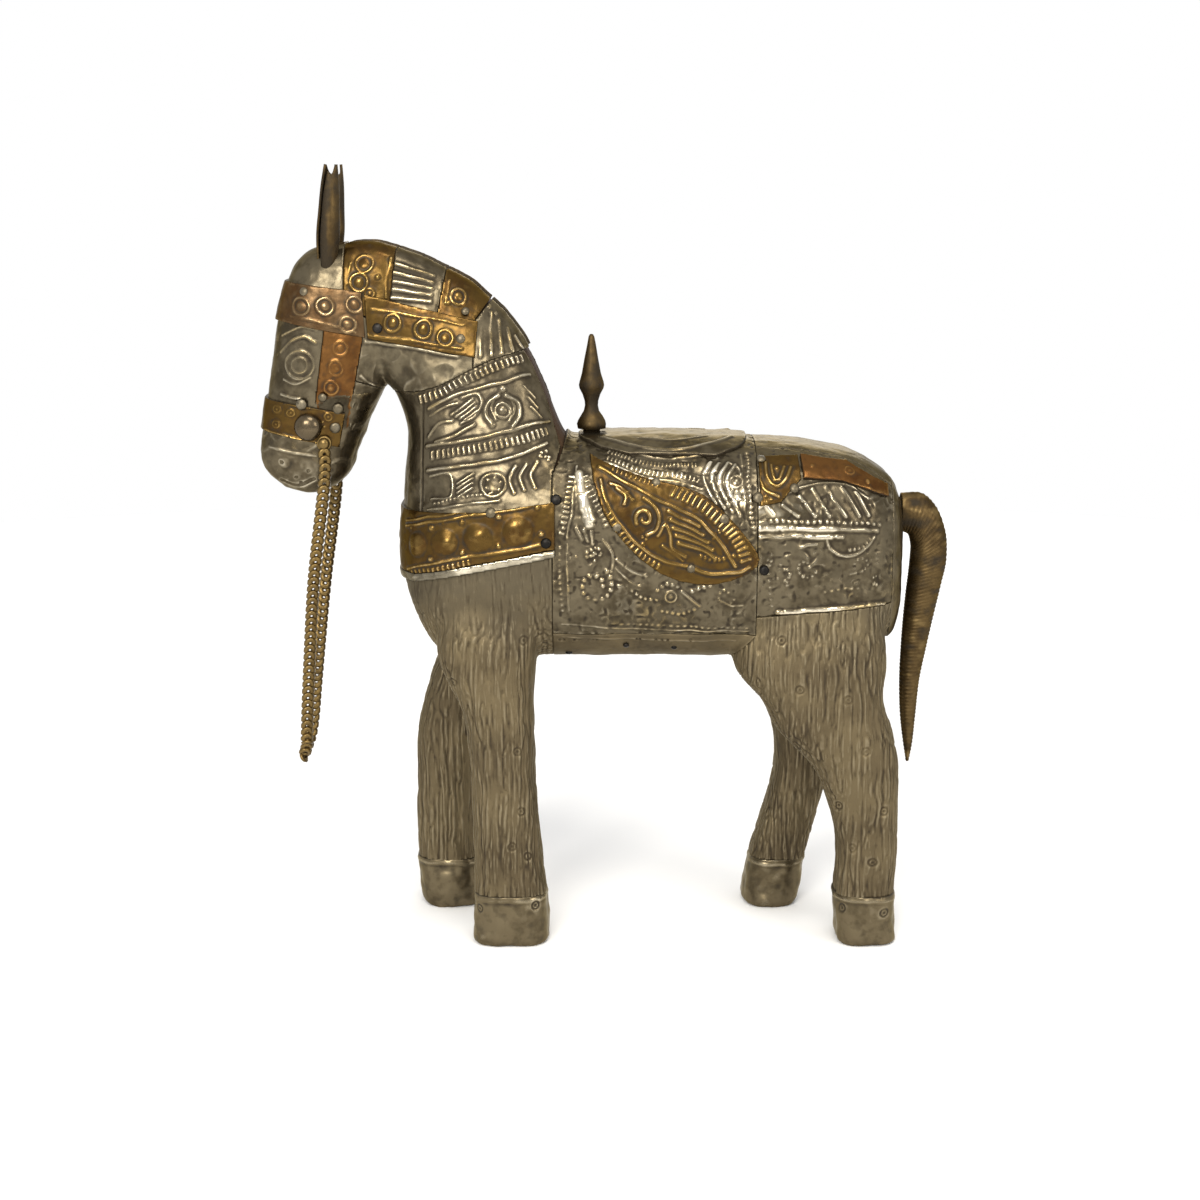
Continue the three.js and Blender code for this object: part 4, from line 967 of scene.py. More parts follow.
OUTLINES = {
    "forehead_sheet": [
        *raised(BROW_MIDDLE, SEAM / 2), (-68, 32.6), (-65.9, 32.2), (-65.9, PAST), (-PAST, PAST)],
    "face_plate": [
        *raised(BROW_MIDDLE, -SEAM / 2), (-70.2, 32), nose_at(-74.3, SEAM / 2),
        *raised(NOSE_MIDDLE, SEAM / 2)[::-1]],
    "jaw_sheet": [
        (-62.8, 14.2), (-56.9, 12.2), (-58, 6), (-61, -3), (-64, -10), (-68, -17), (-73, -17), (-71, -2.3),
        nose_at(-69.6, 0), nose_at(-64.9, 0), (-64.1, 6.9)],
    "muzzle_cap": [
        *raised(NOSE_MIDDLE, -SEAM / 2), nose_at(-70.1, -SEAM / 2), (-71.5, -2.4), (-73.5, -17),
        (-73.5, -PAST / 2), (-PAST, -PAST / 2)],
    "throat_sheet": [
        (-60.7, 30.5), (-33.3, 24.5), *raised(NECK_TOP[1:5], SEAM)[::-1], (-56.7, 12.7), (-62.6, 14.8),
        (-60.7, 25.4)],
    "neck_sheet": [
        *under_collar(SEAM / 2), (BARREL_FRONT - SEAM, -8), (-11.3, -1.5), (-14.2, 8.2), (-18.3, 18.3),
        *NECK_TOP[::-1]],
    "belly_sheet": [
        (BARREL_FRONT, BELLY_TOP), (BARREL_REAR, BELLY_TOP), (BELLY_REAR, FLANK_FOOT),
        (BELLY_REAR, UNDER_BELLY), (BARREL_FRONT, UNDER_BELLY)],
    "rump_plate": [
        (RUMP_SEAM + SEAM, RUMP_FOOT + SEAM), (PAST, RUMP_FOOT + SEAM), (PAST, PAST),
        (RUMP_SEAM + SEAM, PAST)],
    "poll_plate": [strap_top(-65.4), strap_top(-54.7), (-52.3, 51.6), (-65.4, 53)],
    "ribbed_plate": [strap_top(-54.2), strap_top(-43.1), (-39.7, 45.3), (-44, 49.5), (-51.8, 51.5)],
    "crest_plate": [
        strap_top(-42.6), strap_top(-33.4), (-33.4, 29.5), (-26.9, 38.2), (-33, 44), (-39.2, 45)],
    "ray_plate": [
        (-32.9, 18.6), (-28.6, 20.5), (-16.8, 23.8), (-20, 32), (-26.1, 37.4), (-32.9, 29.2)],
    "cheek_strap": [
        (-69.7, 32), (-61.2, 30.4), (-61.2, 25.5), (-64.6, 7), nose_at(-65.4, SEAM / 2),
        nose_at(-73.8, SEAM / 2)],
    "barrel_sheet": [
        (BARREL_FRONT, BELLY_TOP + SEAM), (BARREL_REAR, BELLY_TOP + SEAM), (BARREL_REAR, PAST),
        (CREST_REAR, PAST), (CREST_REAR, 1), (BARREL_FRONT, -8)],
    "croup": [*raised(HAUNCH, SEAM), (RUMP_SEAM, PAST), (BARREL_REAR + SEAM, PAST)],
    "leg_front": [
        *under_collar(-SEAM / 2), (BARREL_FRONT - SEAM, UNDER_BELLY), (0, UNDER_BELLY),
        (0, HOOF_TOP + SEAM), (-PAST, HOOF_TOP + SEAM)],
    "leg_hind": [
        *HAUNCH, (RUMP_SEAM, RUMP_FOOT), (PAST, RUMP_FOOT), (PAST, HOOF_TOP + SEAM), (0, HOOF_TOP + SEAM),
        (0, UNDER_BELLY - SEAM), (BELLY_REAR + SEAM, UNDER_BELLY - SEAM), (BELLY_REAR + SEAM, FLANK_FOOT),
        (BARREL_REAR + SEAM, BELLY_TOP)],
    "hoof_front": [(-PAST, HOOF_FOOT), (0, HOOF_FOOT), (0, HOOF_TOP + SEAM), (-PAST, HOOF_TOP + SEAM)],
    "hoof_hind": [(0, HOOF_FOOT), (PAST, HOOF_FOOT), (PAST, HOOF_TOP + SEAM), (0, HOOF_TOP + SEAM)],
    "browband": [
        (-PAST, 45.9), (-79.3, 39.2), (-65.1, 37.5), (-61, 36.8), (-60.4, 25.6), (-71.5, 27.5),
        (-81.3, 29.5), (-PAST, 36)],
    "noseband": [(-PAST, 17.8), (-85.3, 9.8), (-65.9, 6.5), (-67.8, -2.3), (-86.6, 1.6), (-PAST, 10.5)],
    "chest_collar": [*COLLAR_TOP, *COLLAR_FOOT[::-1]],
    "collar_edge": [*COLLAR_FOOT, *raised(COLLAR_FOOT, -COLLAR_EDGE)[::-1]],
    "throat_strap": [(-60.4, 36.4), (-31.9, 29.6), (-32.6, 20.7), (-59.8, 25.4)],
    "saddle_flap": [tuple(p) for p in smooth_line([
        (-3.8, -3.4), (0.3, -5.4), (11.2, -9), (24.8, -12.8), (36.2, -24.1), (38.2, -30.5), (27.5, -35.1),
        (13.9, -32.3), (1.8, -20.8), (-2.9, -9.5)], 3)],
    "croup_scroll": [(38.6, -4.2), (48.6, -4), (49.2, -9), (44, -14.5), (38.8, -15.6)],
    "croup_strip": [(49.3, -3.8), (60.7, -5.6), (71.5, -11.6), (71.5, -14.2), (59.5, -9.8), (49.8, -8.9)],
    "saddle_seat": [
        (-6.8, -0.2), (-1.2, -1.9), (8.9, -3.9), (21.6, -5.6), (33, -2.4), (36.4, -0.9), (36.4, PAST),
        (-6.8, PAST)],
}
OUTLINES = {name: [up(x, z) for x, z in outline] for name, outline in OUTLINES.items()}


# Textures of the sheets, in millimetres of height. A wave is how often it comes, its height and its seed.

HAMMER_WAVES = ((0.13, 0.26, 2), (0.3, 0.13, 3), (0.75, 0.05, 4))
HOOF_WAVES = ((0.17, 0.45, 44), (0.42, 0.2, 45))
LEG_WAVES = ((0.15, 0.3, 10),)
CREASE_WAVES = ((0.2, 1, 51),)
HOOF_FOLD = 0.16
HOOF_FOLD_DOWN = 0.7
HOOF_FOLD_HALF = 0.8
PIT_DEPTH = 0.3
PIT_BEND = 0.6
PIT_BEND_OFTEN = 0.5
PIT_BEND_SEEDS = (46, 47, 48)
CREASE_DEPTH = 0.6
CREASE_MIDDLE = 0.25
CRUMPLED_HAMMER = 1.3
# Chased lines: their depth, their bend, and how often they come across and along, once broad and once fine
CHASE_DEPTH = 0.32
CHASE_LEVEL = 1.1
CHASE_BEND = 0.5
CHASE_BEND_OFTEN = 0.07
CHASE_BEND_SEEDS = (5, 6, 7)
CHASE_BROAD = (0.9, 0.9, 0.08)
CHASE_FINE = (1.5, 1.5, 0.14)
# The chest is chased less than the legs, from this height up
CHEST_FOOT = 84.0
CHEST_REACH = 6.0
CHEST_PLAIN = 0.55


def waves(points, table):
    return sum(height * grain(points @ OBLIQUE * often, seed) for often, height, seed in table)


def hammered(points):
    """The uneven face of thin sheet that was beaten down over wood."""
    return waves(points, HAMMER_WAVES)


def pitted(points):
    """Beaten sheet with many small hollows."""
    bent = points @ OBLIQUE.T + PIT_BEND * drift(points * PIT_BEND_OFTEN, PIT_BEND_SEEDS)
    wide = np.clip(grain(bent * 0.5, 41), 0, 1) ** 2
    small = np.clip(grain(bent @ OBLIQUE * 0.8, 42), 0, 1) ** 2
    return hammered(points) - PIT_DEPTH * (wide + small)


def crumpled(points):
    """Plain sheet, creased where it was pressed round the head."""
    creases = np.abs(waves(points, CREASE_WAVES))
    return CRUMPLED_HAMMER * hammered(points) + CREASE_DEPTH * (CREASE_MIDDLE - creases)


def capped(points):
    """The plain sheet of a hoof cap, folded over at its top."""
    fold = bump((points[:, 2] - BACK - HOOF_TOP + HOOF_FOLD_DOWN) / HOOF_FOLD_HALF)
    return HOOF_FOLD * fold + waves(points, HOOF_WAVES)


def chased(points):
    """Long upright lines beaten into the leg sheets."""
    bent = points + CHASE_BEND * drift(points * CHASE_BEND_OFTEN, CHASE_BEND_SEEDS)
    broad = np.clip(np.abs(grain(bent * CHASE_BROAD, 8)) / 0.35, 0, 1) ** 0.8
    fine = np.clip(np.abs(grain(bent * CHASE_FINE, 9)) / 0.4, 0, 1)
    plain = np.clip((points[:, 2] - CHEST_FOOT) / CHEST_REACH, 0, 1) * (points[:, 0] < 0)
    depth = CHASE_DEPTH * (1 - CHEST_PLAIN * plain)
    return depth * (broad + 0.5 * fine - CHASE_LEVEL) + waves(points, LEG_WAVES)


# Ornament. A stroke is its kind, its place or line, and the sizes that Relief's method of that kind names.
# Places are in picture units, or in millimetres of the side view where the table's name ends in SIDE.

FLOWER = (-25.6, 7.8)
PETALS = (
    ([(1, 3.8), (3.8, 2), (4.3, -1), (2.5, -3.8)], 0.75, 0.45),
    ([(2, 3.2), (3, 0.6), (1.6, -2.6)], 0.4, 0.3),
)
ROSETTE = (-27.9, -10.3)
ROSETTE_RADIUS = 1.75
ROSETTE_TURN = 0.4
ROSETTE_SPOTS = [
    (ROSETTE_RADIUS * math.cos(k * math.pi / 3 + ROSETTE_TURN),
     ROSETTE_RADIUS * math.sin(k * math.pi / 3 + ROSETTE_TURN)) for k in range(6)]
# The first of three curves behind the rosette: x, height, and how much each next curve rises there
NECK_CURVE = ((-22.6, -6, 0.6), (-24, -9, 0.4), (-22.8, -12.2, 0.6))
NECK_SIDE = (
    ("hatch", raised(NECK_TOP[2:], -1.7), 1.25, 1.4, 0.42),
    ("hatch", [(-44, -3.6), (-31.4, -1.3), (-21.3, 0.7), (-14.2, 2.4)], 1.3, 1.4, 0.42),
    ("line", [(-44.4, 8.2), (-37.6, 11.4), (-29.5, 13.8), (-18.9, 16.4)], 0.6, 0.4),
    ("line", [(-42.7, -0.2), (-37.4, 1.8), (-32.6, 4.1)], 0.6, 0.4),
    ("line", [(-44.8, -1.2), (-31.4, 1.1), (-14, 4.7)], 0.6, 0.4),
    ("line", [(-44.6, -7.2), (-33.9, -5.6), (-23.3, -3.6), (-14.6, -0.6)], 0.6, 0.4),
    *(("line", [(-33.3 + 0.5 * k, 10.4 - 0.9 * k), (-38.6 + 1.1 * k, 6.6 - 0.4 * k)], 0.5, 0.4)
      for k in range(4)),
    *(("line", [(-33, -8 - 1.1 * k), (-36.7, -10.2 - 1.1 * k)], 0.45, 0.36) for k in range(4)),
    ("line", [(-36.2, 10.6), (-32.4, 11.8), (-31, 9.6), (-32.4, 6.4), (-36, 4.6)], 0.45, 0.34),
    ("line", [(-44.4, 1), (-41.6, 4.4), (-38.4, 5)], 0.45, 0.3),
    ("line", [(-44, 6.4), (-40, 8.6), (-37, 9.4)], 0.4, 0.28),
    ("ring", FLOWER, 1.9, 0.6, 0.4),
    ("boss", (FLOWER[0], FLOWER[1] + 5.4), 1.2, 0.5),
    *(("line", [(FLOWER[0] + way * x, FLOWER[1] + z) for x, z in petal], width, height)
      for way in (-1, 1) for petal, width, height in PETALS),
    *(("line", [(-20.2 + k, 13.6 - 2.6 * k), (-17.6 + 0.8 * k, 10.6 - 2.4 * k)], 0.45, 0.3)
      for k in range(3)),
    *(("line", [(x + 2.8 * k, z + rise * k) for x, z, rise in NECK_CURVE], 0.6, 0.4) for k in range(3)),
    ("ring", ROSETTE, 2.9, 0.6, 0.4),
    *(("boss", (ROSETTE[0] + x, ROSETTE[1] + z), 0.6, 0.34) for x, z in ROSETTE_SPOTS),
    ("line", [(-44, -8.6), (-38.8, -8), (-38.6, -13.4), (-43.8, -14.2)], 0.4, 0.26),
)
NECK_STROKES = (
    ("scatter", (545, 455), 6, 8, 0.5, 0.34, 3),
    ("beads", [(434, 503), (460, 498), (490, 493)], 1.1, 0.5, 0.34),
    ("line", [(428, 510), (470, 504), (500, 500)], 0.4, 0.28),
    ("line", [(423, 402), (422, 450), (421, 510)], 0.5, -0.25),
)
COLLAR_SIDE = [
    ("boss", (x, z), size, 1.05, 1.3)
    for x, z, size in ((-46.8, -25.8, 3.3), (-40, -24.8, 3.5), (-31.7, -23.5, 3.8), (-21.6, -21.7, 4.1))
]
COLLAR_BEADS = (
    (433, 528), (463, 523), (499, 517), (433, 559), (463, 553), (499, 546), (538, 508), (541, 534))
COLLAR_MIDDLE = (-52.8, 0, 105.5)
COLLAR = (
    ("boss", COLLAR_MIDDLE, 3.2, 1.0, 1.3),
    *(("line", [(409, 521 + shift), (480, 510 + shift), (551, 497 + shift)], 0.45, 0.32)
      for shift in (0, 5)),
    ("line", [(411, 568), (464, 558), (540, 545)], 0.45, 0.32),
    ("hatch", [(414, 572), (440, 569), (472, 562)], 0.9, 1.3, 0.36),
    ("hatch", [(412, 528), (446, 523)], 0.6, 1.2, 0.24),
    *(("boss", spot, 0.8, 0.4) for spot in COLLAR_BEADS),
)
ROLLED_SIDE = [("line", raised(COLLAR_FOOT[1:], -COLLAR_EDGE / 2), 0.75, 0.4)]
# A painted highlight along the middle of the rolled edge
ROLLED = [("painted_highlight", [(460, 571), (500, 563), (536, 556)], 2.2, 1.0)]
# The first of four curves under the rear of the seat: x, y, and how much each next curve drops there
SADDLE_CURVE = ((711, 462, 1), (703, 476, 1), (709, 492, 3), (716, 503, 4))
BARREL = (
    ("beads", [(747, 453), (749, 480), (751, 508), (754, 533)], 1.35, 0.62, 0.42),
    ("line", [(741, 454), (743, 480), (745, 506), (749, 531)], 0.35, 0.2),
    ("hatch", [(572, 474), (567, 500), (561, 536)], 1.0, 1.3, 0.34),
    ("line", [(577, 466), (573, 500), (567, 538)], 0.35, 0.28),
    ("line", [(580, 474), (584, 500), (589, 524)], 1.5, 0.5),
    ("hatch", [(585, 474), (595, 500), (608, 528)], 1.0, 1.3, 0.38),
    *(("line", [(577 + 7 * k, 528 + 2 * k), (582 + 5 * k, 540 + 2 * k)], 0.55, 0.34) for k in range(3)),
    ("scatter", (593, 553), 8, 16, 0.5, 0.34, 5),
    ("scatter", (571, 557), 6, 9, 0.45, 0.28, 6),
    ("curl", (595, 586), 18, -0.9, 1.15, 0.68, 0.5, 1.7, 0.45),
    ("line", [(604, 540), (613, 556), (611, 572)], 0.45, 0.25),
    ("beads", [(560, 548), (559, 575), (563, 610)], 1.5, 0.5, 0.26),
    ("line", [(568, 545), (567, 575), (569, 612)], 0.35, 0.2),
    ("line", [(604, 462), (646, 477), (678, 482), (702, 489)], 0.5, 0.28),
    ("hatch", [(606, 458), (650, 472), (684, 476), (700, 481)], 0.85, 1.1, 0.36),
    ("hatch", [(608, 451), (654, 464), (698, 464)], 0.9, 0.95, 0.34),
    ("line", [(618, 446), (656, 457), (700, 455), (722, 448)], 0.45, 0.28),
    *(("line", [(x + 8 * k, y + drop * k) for x, y, drop in SADDLE_CURVE], 0.6, 0.36) for k in range(4)),
    ("ring", (737, 481), 1.5, 0.5, 0.34),
    ("boss", (737, 499), 0.8, 0.34),
    ("line", [(728, 463), (738, 468), (741, 476)], 0.5, 0.3),
    ("beads", [(658, 590), (667, 584), (678, 587)], 1.3, 0.55, 0.34),
    ("ring", (671, 597), 1.4, 0.5, 0.28),
    ("beads", [(662, 611), (680, 614), (695, 610)], 1.4, 0.55, 0.32),
    ("beads", [(692, 592), (700, 589), (710, 586)], 1.5, 0.55, 0.32),
    ("line", [(682, 592), (692, 601), (700, 606)], 0.45, 0.26),
    ("beads", [(632, 592), (645, 598), (656, 600)], 1.4, 0.5, 0.28),
    ("line", [(617, 560), (633, 572), (646, 577)], 0.5, 0.24),
    ("line", [(616, 568), (630, 582), (640, 586)], 0.4, 0.2),
    ("line", [(720, 600), (732, 606), (742, 606)], 0.45, 0.22),
    ("curl", (726, 596), 9, 0.4, 0.8, 0.45, 0.26, 1.2, 0.5),
    ("hatch", [(618, 624), (690, 627), (750, 628)], 0.5, 1.6, 0.18),
    ("line", [(562, 624), (650, 630), (748, 631)], 0.35, 0.2),
    # Painted highlights on the barrel
    ("painted_highlight", [(580, 478), (584, 500), (588, 522)], 2.4, 1.7),
    ("painted_highlight", [(708, 468), (722, 480), (738, 498)], 3.4, 1.0),
    ("painted_highlight", [(616, 466), (650, 474), (680, 477)], 2.0, 0.8),
)
BELLY_CUTS = (559, 563, 574, 579, 588, 593, 597, 637, 640, 657, 663, 668, 690)
BELLY_STROKES = (
    *(("line", [(x, 640), (x + 1, 655)], 0.4, -0.4) for x in BELLY_CUTS),
    ("line", [(562, 637), (650, 640), (735, 641)], 0.35, 0.22),
)
FLAP_SCROLL = (10, -18.3)
FLAP_CURL = [
    (FLAP_SCROLL[0] + 2.4 * (1 - 0.07 * k) * math.cos(2.6 + 0.62 * k),
     FLAP_SCROLL[1] - 2.4 * (1 - 0.07 * k) * math.sin(2.6 + 0.62 * k)) for k in range(11)]
# The first of five petals: x, height, and how much further back each next petal lies there
FLAP_PETAL = ((15.8, -16.6, 0.7), (19.8, -18.6, 1.2), (23.6, -20.4, 1))
FLAP_SIDE = (
    ("line", [(-1.4, -6.6), (8.8, -11.8), (15.8, -15), (23.8, -19.1), (29.3, -25.2), (32.7, -30.5)],
     0.55, 0.42),
    ("line", [(-1, -9.4), (0.2, -13.8), (3.6, -19.8), (9, -25.4), (15, -29.2), (21.4, -30.5)], 0.55, 0.42),
    ("hatch", [(16.7, -11.5), (23.5, -14.7), (29.6, -19.8), (34, -25.4), (35.6, -29.5)], 1.7, 1.4, 0.44),
    ("hatch", [(0.9, -17), (4.1, -22.1), (9, -27.2), (13.9, -30.9)], 1.1, 1.4, 0.44),
    ("hatch", [(1.5, -6.9), (8, -9), (14, -10.6)], 0.7, 1.2, 0.36),
    ("line", FLAP_CURL, 0.65, 0.5),
    ("line", [(9.6, -13.6), (12.4, -15.4), (13.6, -18.4), (12.6, -21.2), (10.4, -22.4)], 0.6, 0.45),
    ("line", [(3, -11), (5.2, -12.8), (5, -15)], 0.6, 0.42),
    ("line", [(1.4, -10.2), (4.2, -11), (6.8, -14)], 0.5, 0.36),
    *(("line", [(x + ahead * k, z - 2 * k) for x, z, ahead in FLAP_PETAL], 0.7, 0.45) for k in range(5)),
    ("line", [(13, -22.6), (15, -20), (16.4, -22), (17, -26), (20, -28)], 0.6, 0.42),
    ("line", [(14.4, -25.4), (17, -27), (19.4, -29)], 0.5, 0.36),
)
FLAP = (
    ("scatter", (626, 494), 5, 7, 0.45, 0.36, 8),
    ("scatter", (714, 534), 6, 8, 0.45, 0.36, 9),
    ("scatter", (640, 540), 6, 6, 0.45, 0.36, 10),
    ("beads", [(700, 556), (712, 559), (724, 559), (734, 556)], 1.3, 0.6, 0.42),
    ("line", [(690, 566), (712, 573), (738, 572), (750, 566)], 0.6, 0.4),
)
CROUP_RAYS = (
    [(765, 506), (772, 516)], [(782, 505), (798, 516)], [(799, 496), (815, 516)], [(813, 489), (830, 516)],
    [(826, 487), (846, 516)], [(841, 487), (860, 516)], [(856, 493), (869, 515)])
CROUP = (
    ("line", [(757, 508), (806, 486), (842, 484), (868, 498)], 0.45, 0.28),
    *(("line", ray, 0.65, 0.34) for ray in CROUP_RAYS),
    ("beads", [(770, 522), (820, 522), (880, 524)], 1.55, 0.62, 0.42),
    ("line", [(760, 529), (820, 529), (878, 530)], 0.75, 0.42),
    ("line", [(760, 537), (820, 537), (842, 537)], 0.75, 0.42),
    ("line", [(826, 537), (830, 548), (842, 556), (856, 554), (868, 545), (875, 536)], 0.5, 0.34),
    ("beads", [(850, 550), (862, 547), (870, 539)], 1.3, 0.55, 0.3),
    ("line", [(800, 548), (808, 545), (816, 544)], 0.5, 0.3),
    ("scatter", (778, 573), 15, 16, 0.5, 0.3, 11),
    ("curl", (806, 568), 11, 0.5, 0.9, 0.45, 0.26, 1.3, 0.4),
    ("beads", [(825, 592), (845, 589), (858, 589)], 1.7, 0.5, 0.28),
    ("line", [(850, 575), (858, 573), (862, 572)], 0.45, 0.26),
    ("scatter", (874, 578), 8, 6, 0.45, 0.24, 12),
    ("curl", (862, 566), 9, 2.2, 0.8, 0.4, 0.22, 1.3, 0.5),
    ("line", [(778, 613), (820, 610), (884, 605)], 0.85, 0.5),
    # Painted highlights on the croup
    ("painted_highlight", [(783, 613), (840, 608)], 1.3, 0.9),
    ("painted_highlight", [(757, 508), (776, 515)], 2.2, 1.2),
    ("painted_highlight", [(761, 529), (800, 531), (830, 532)], 2.6, 0.9),
    ("beads", [(768, 560), (769, 585), (772, 606)], 1.6, 0.5, 0.24),
)
SCROLL = (
    ("line", [(765, 464), (768, 480), (777, 488), (786, 480), (790, 468)], 0.55, 0.36),
    ("line", [(771, 467), (774, 480), (777, 482), (780, 480), (784, 468)], 0.55, 0.36),
    ("line", [(756, 464), (759, 478), (766, 492), (778, 497)], 0.5, 0.3),
    ("boss", (777, 470), 0.8, 0.34),
    ("scatter", (766, 498), 5, 5, 0.4, 0.26, 13),
)
STRIP = (
    ("ring", (848, 473), 1.1, 0.45, 0.3),
    ("boss", (812, 467), 0.8, 0.26),
    ("boss", (866, 483), 0.8, 0.26),
)
BROW_MIDDLE_RING = (-80.8, 0, 167)
BROW_RINGS = (
    ((302, 307), 2.1), ((325, 306), 2.1), ((354, 304), 1.9), ((348, 325), 1.9), ((372, 326), 1.7),
    (BROW_MIDDLE_RING, 2.1))
BROW = (
    *(("ring", spot, size, 0.55, 0.38) for spot, size in BROW_RINGS),
    ("line", [(292, 316), (320, 323), (356, 332)], 0.35, 0.2),
)
STRAP_RINGS = (((393, 323), 1.9), ((423, 329), 2.2), ((446, 338), 1.9))
STRAP = (
    *(("ring", spot, size, 0.6, 0.4) for spot, size in STRAP_RINGS),
    ("line", [(372, 309), (420, 317), (464, 325)], 0.35, 0.2),
    ("line", [(366, 334), (410, 340), (462, 349)], 0.35, 0.2),
)
POLL_STROKES = (
    ("ring", (359, 282), 2.2, 0.6, 0.4),
    ("ring", (364, 263), 2.3, 0.5, 0.3),
    ("ring", (370, 293), 1.1, 0.45, 0.28),
    ("boss", (378, 277), 0.7, 0.3),
    ("line", [(350, 262), (347, 284)], 0.35, 0.2),
    ("line", [(391, 258), (385, 296)], 0.45, 0.3),
)
RIBS = [
    ("line", [(394 - 1.0 * k, 263 + 8.6 * k), (434 - 0.8 * k, 276 + 6.4 * k)], 0.62, 0.34) for k in range(5)]
CREST = (
    ("ring", (458, 296), 2.0, 0.6, 0.4),
    ("boss", (448, 302), 0.7, 0.28),
    ("line", [(449, 281), (445, 303)], 0.35, 0.22),
)
RAYS = (
    *(("line", [(483 + 8 * k, 304 + 8 * k), (480 + 11 * k, 356 - 1.5 * k)], 0.6, 0.32) for k in range(5)),
    ("boss", (489, 306), 0.9, 0.35),
    ("boss", (496, 313), 0.7, 0.3),
)
FACE = (
    ("ring", (299, 365), 1.9, 0.5, 0.36),
    ("ring", (299, 365), 3.6, 0.5, 0.3),
    ("line", [(281, 352), (291, 341), (304, 337), (316, 343)], 0.5, 0.3),
    ("line", [(282, 336), (300, 327), (316, 330)], 0.4, 0.2),
    ("line", [(284, 380), (296, 384), (310, 378)], 0.4, 0.22),
    ("line", [(281, 394), (300, 399)], 0.4, 0.24),
)
CHEEK = [("ring", spot, 1.8, 0.5, 0.22) for spot in ((341, 349), (336, 368), (331, 388))]
NOSE = (
    *(("ring", spot, 0.9, 0.4, 0.26) for spot in ((279, 408), (279, 424), (291, 413), (329, 416))),
    ("line", [(270, 396), (305, 407), (343, 410)], 0.35, 0.22),
    ("line", [(268, 430), (296, 438), (320, 443)], 0.4, 0.26),
    ("scatter", (322, 425), 5, 5, 0.4, 0.22, 15),
)
MUZZLE = (
    ("boss", (284, 462), 1.7, 0.34),
    ("boss", (282, 461), 0.8, -0.5),
    ("line", [(282, 480), (298, 485), (314, 479)], 0.6, -0.4),
    ("line", [(270, 446), (300, 454), (318, 456)], 0.4, 0.16),
    *(("boss", spot, 0.5, -0.4) for spot in ((297, 476), (301, 482), (309, 470))),
)
JAW = [
    ("line", [(346 + 5 * k, 396 + 4 * k), (340 + 3 * k, 424 + 3 * k), (334 + 3 * k, 452 + k)], 0.5, -0.22)
    for k in range(4)
]
THROAT = (
    ("line", [(366, 341), (410, 347), (458, 357)], 0.5, 0.3),
    ("line", [(360, 376), (374, 384), (388, 385)], 0.4, 0.22),
)
# Ring marks where nails hold the leg sheets and the hoof caps
LEG_MARKS = (
    (453, 682), (464, 747), (471, 812), (474, 855), (521, 812), (528, 857), (512, 848), (518, 752),
    (536, 905), (480, 908), (524, 640), (866, 752), (884, 812), (852, 848), (872, 862), (842, 908),
    (884, 912), (800, 690), (848, 700), (782, 640), (838, 806))
# A low ridge along each edge of the seat
SEAT = (
    ("line", [(600, 440), (640, 449), (674, 452), (706, 447), (730, 440)], 0.6, 0.3),
    ("line", [(640, 441), (674, 443), (706, 439)], 0.5, 0.22),
)


def drawing(strokes, side_strokes=()):
    """A function that draws the strokes of the picture and of the side view on a relief."""
    def draw(relief):
        for kind, place, *sizes in strokes:
            getattr(relief, kind)(place, *sizes)
        for kind, place, *sizes in side_strokes:
            laid = on_side(place) if isinstance(place, list) else on_side([place])[0]
            getattr(relief, kind)(laid, *sizes)

    return draw


LEG_DRAWING = drawing([("ring", spot, 0.95, 0.5, -0.4) for spot in LEG_MARKS])
DRAWINGS = {
    "face_plate": drawing(FACE), "jaw_sheet": drawing(JAW), "muzzle_cap": drawing(MUZZLE),
    "throat_sheet": drawing(THROAT), "neck_sheet": drawing(NECK_STROKES, NECK_SIDE),
    "poll_plate": drawing(POLL_STROKES), "ribbed_plate": drawing(RIBS), "crest_plate": drawing(CREST),
    "ray_plate": drawing(RAYS), "cheek_strap": drawing(CHEEK), "browband": drawing(BROW),
    "throat_strap": drawing(STRAP), "noseband": drawing(NOSE), "barrel_sheet": drawing(BARREL),
    "belly_sheet": drawing(BELLY_STROKES), "croup_sheet": drawing(CROUP),
    "chest_collar": drawing(COLLAR, COLLAR_SIDE), "collar_edge": drawing(ROLLED, ROLLED_SIDE),
    "saddle_seat": drawing(SEAT), "saddle_flap": drawing(FLAP, FLAP_SIDE), "croup_scroll": drawing(SCROLL),
    "croup_strip": drawing(STRIP),
}


# Setting the sheets

# By how much of a seam a first sheet grows, and of its lift an overlay's edge turns down further
SEAM_SHARE = 0.45
SKIRT_SHARE = 0.6
# Left and right pieces end this far from the middle
MIDDLE_GAP = 0.02


def beaten(shape, low, high, lift, draw, texture):
    """A sheet cut from the carving and embossed, and the tone of each of its points."""
    sizes = bpy.context.scene.horse_sizes
    outline = OUTLINES[shape]
    if not lift:
        outline = grown(outline, SEAM_SHARE * SEAM)
    bm = cut_sheet(outline, low, high)
    skirt = sizes.sheet / MM + lift * SKIRT_SHARE
    return bm, emboss(bm, lift, skirt, draw, sizes.relief, texture)


def sheet(name, finish, slot, low=-PAST, high=PAST, shape=None, draw=None, nodes=None, lift=0.0,
          texture=hammered):
    """Sets one sheet, in place of the solid of its name or of the nodes given."""
    bm, tone = beaten(shape or name, low, high, lift, draw or DRAWINGS.get(name), texture)
    piece(name, bm, FINISHES[finish], [name] if nodes is None else nodes, slot, tone)


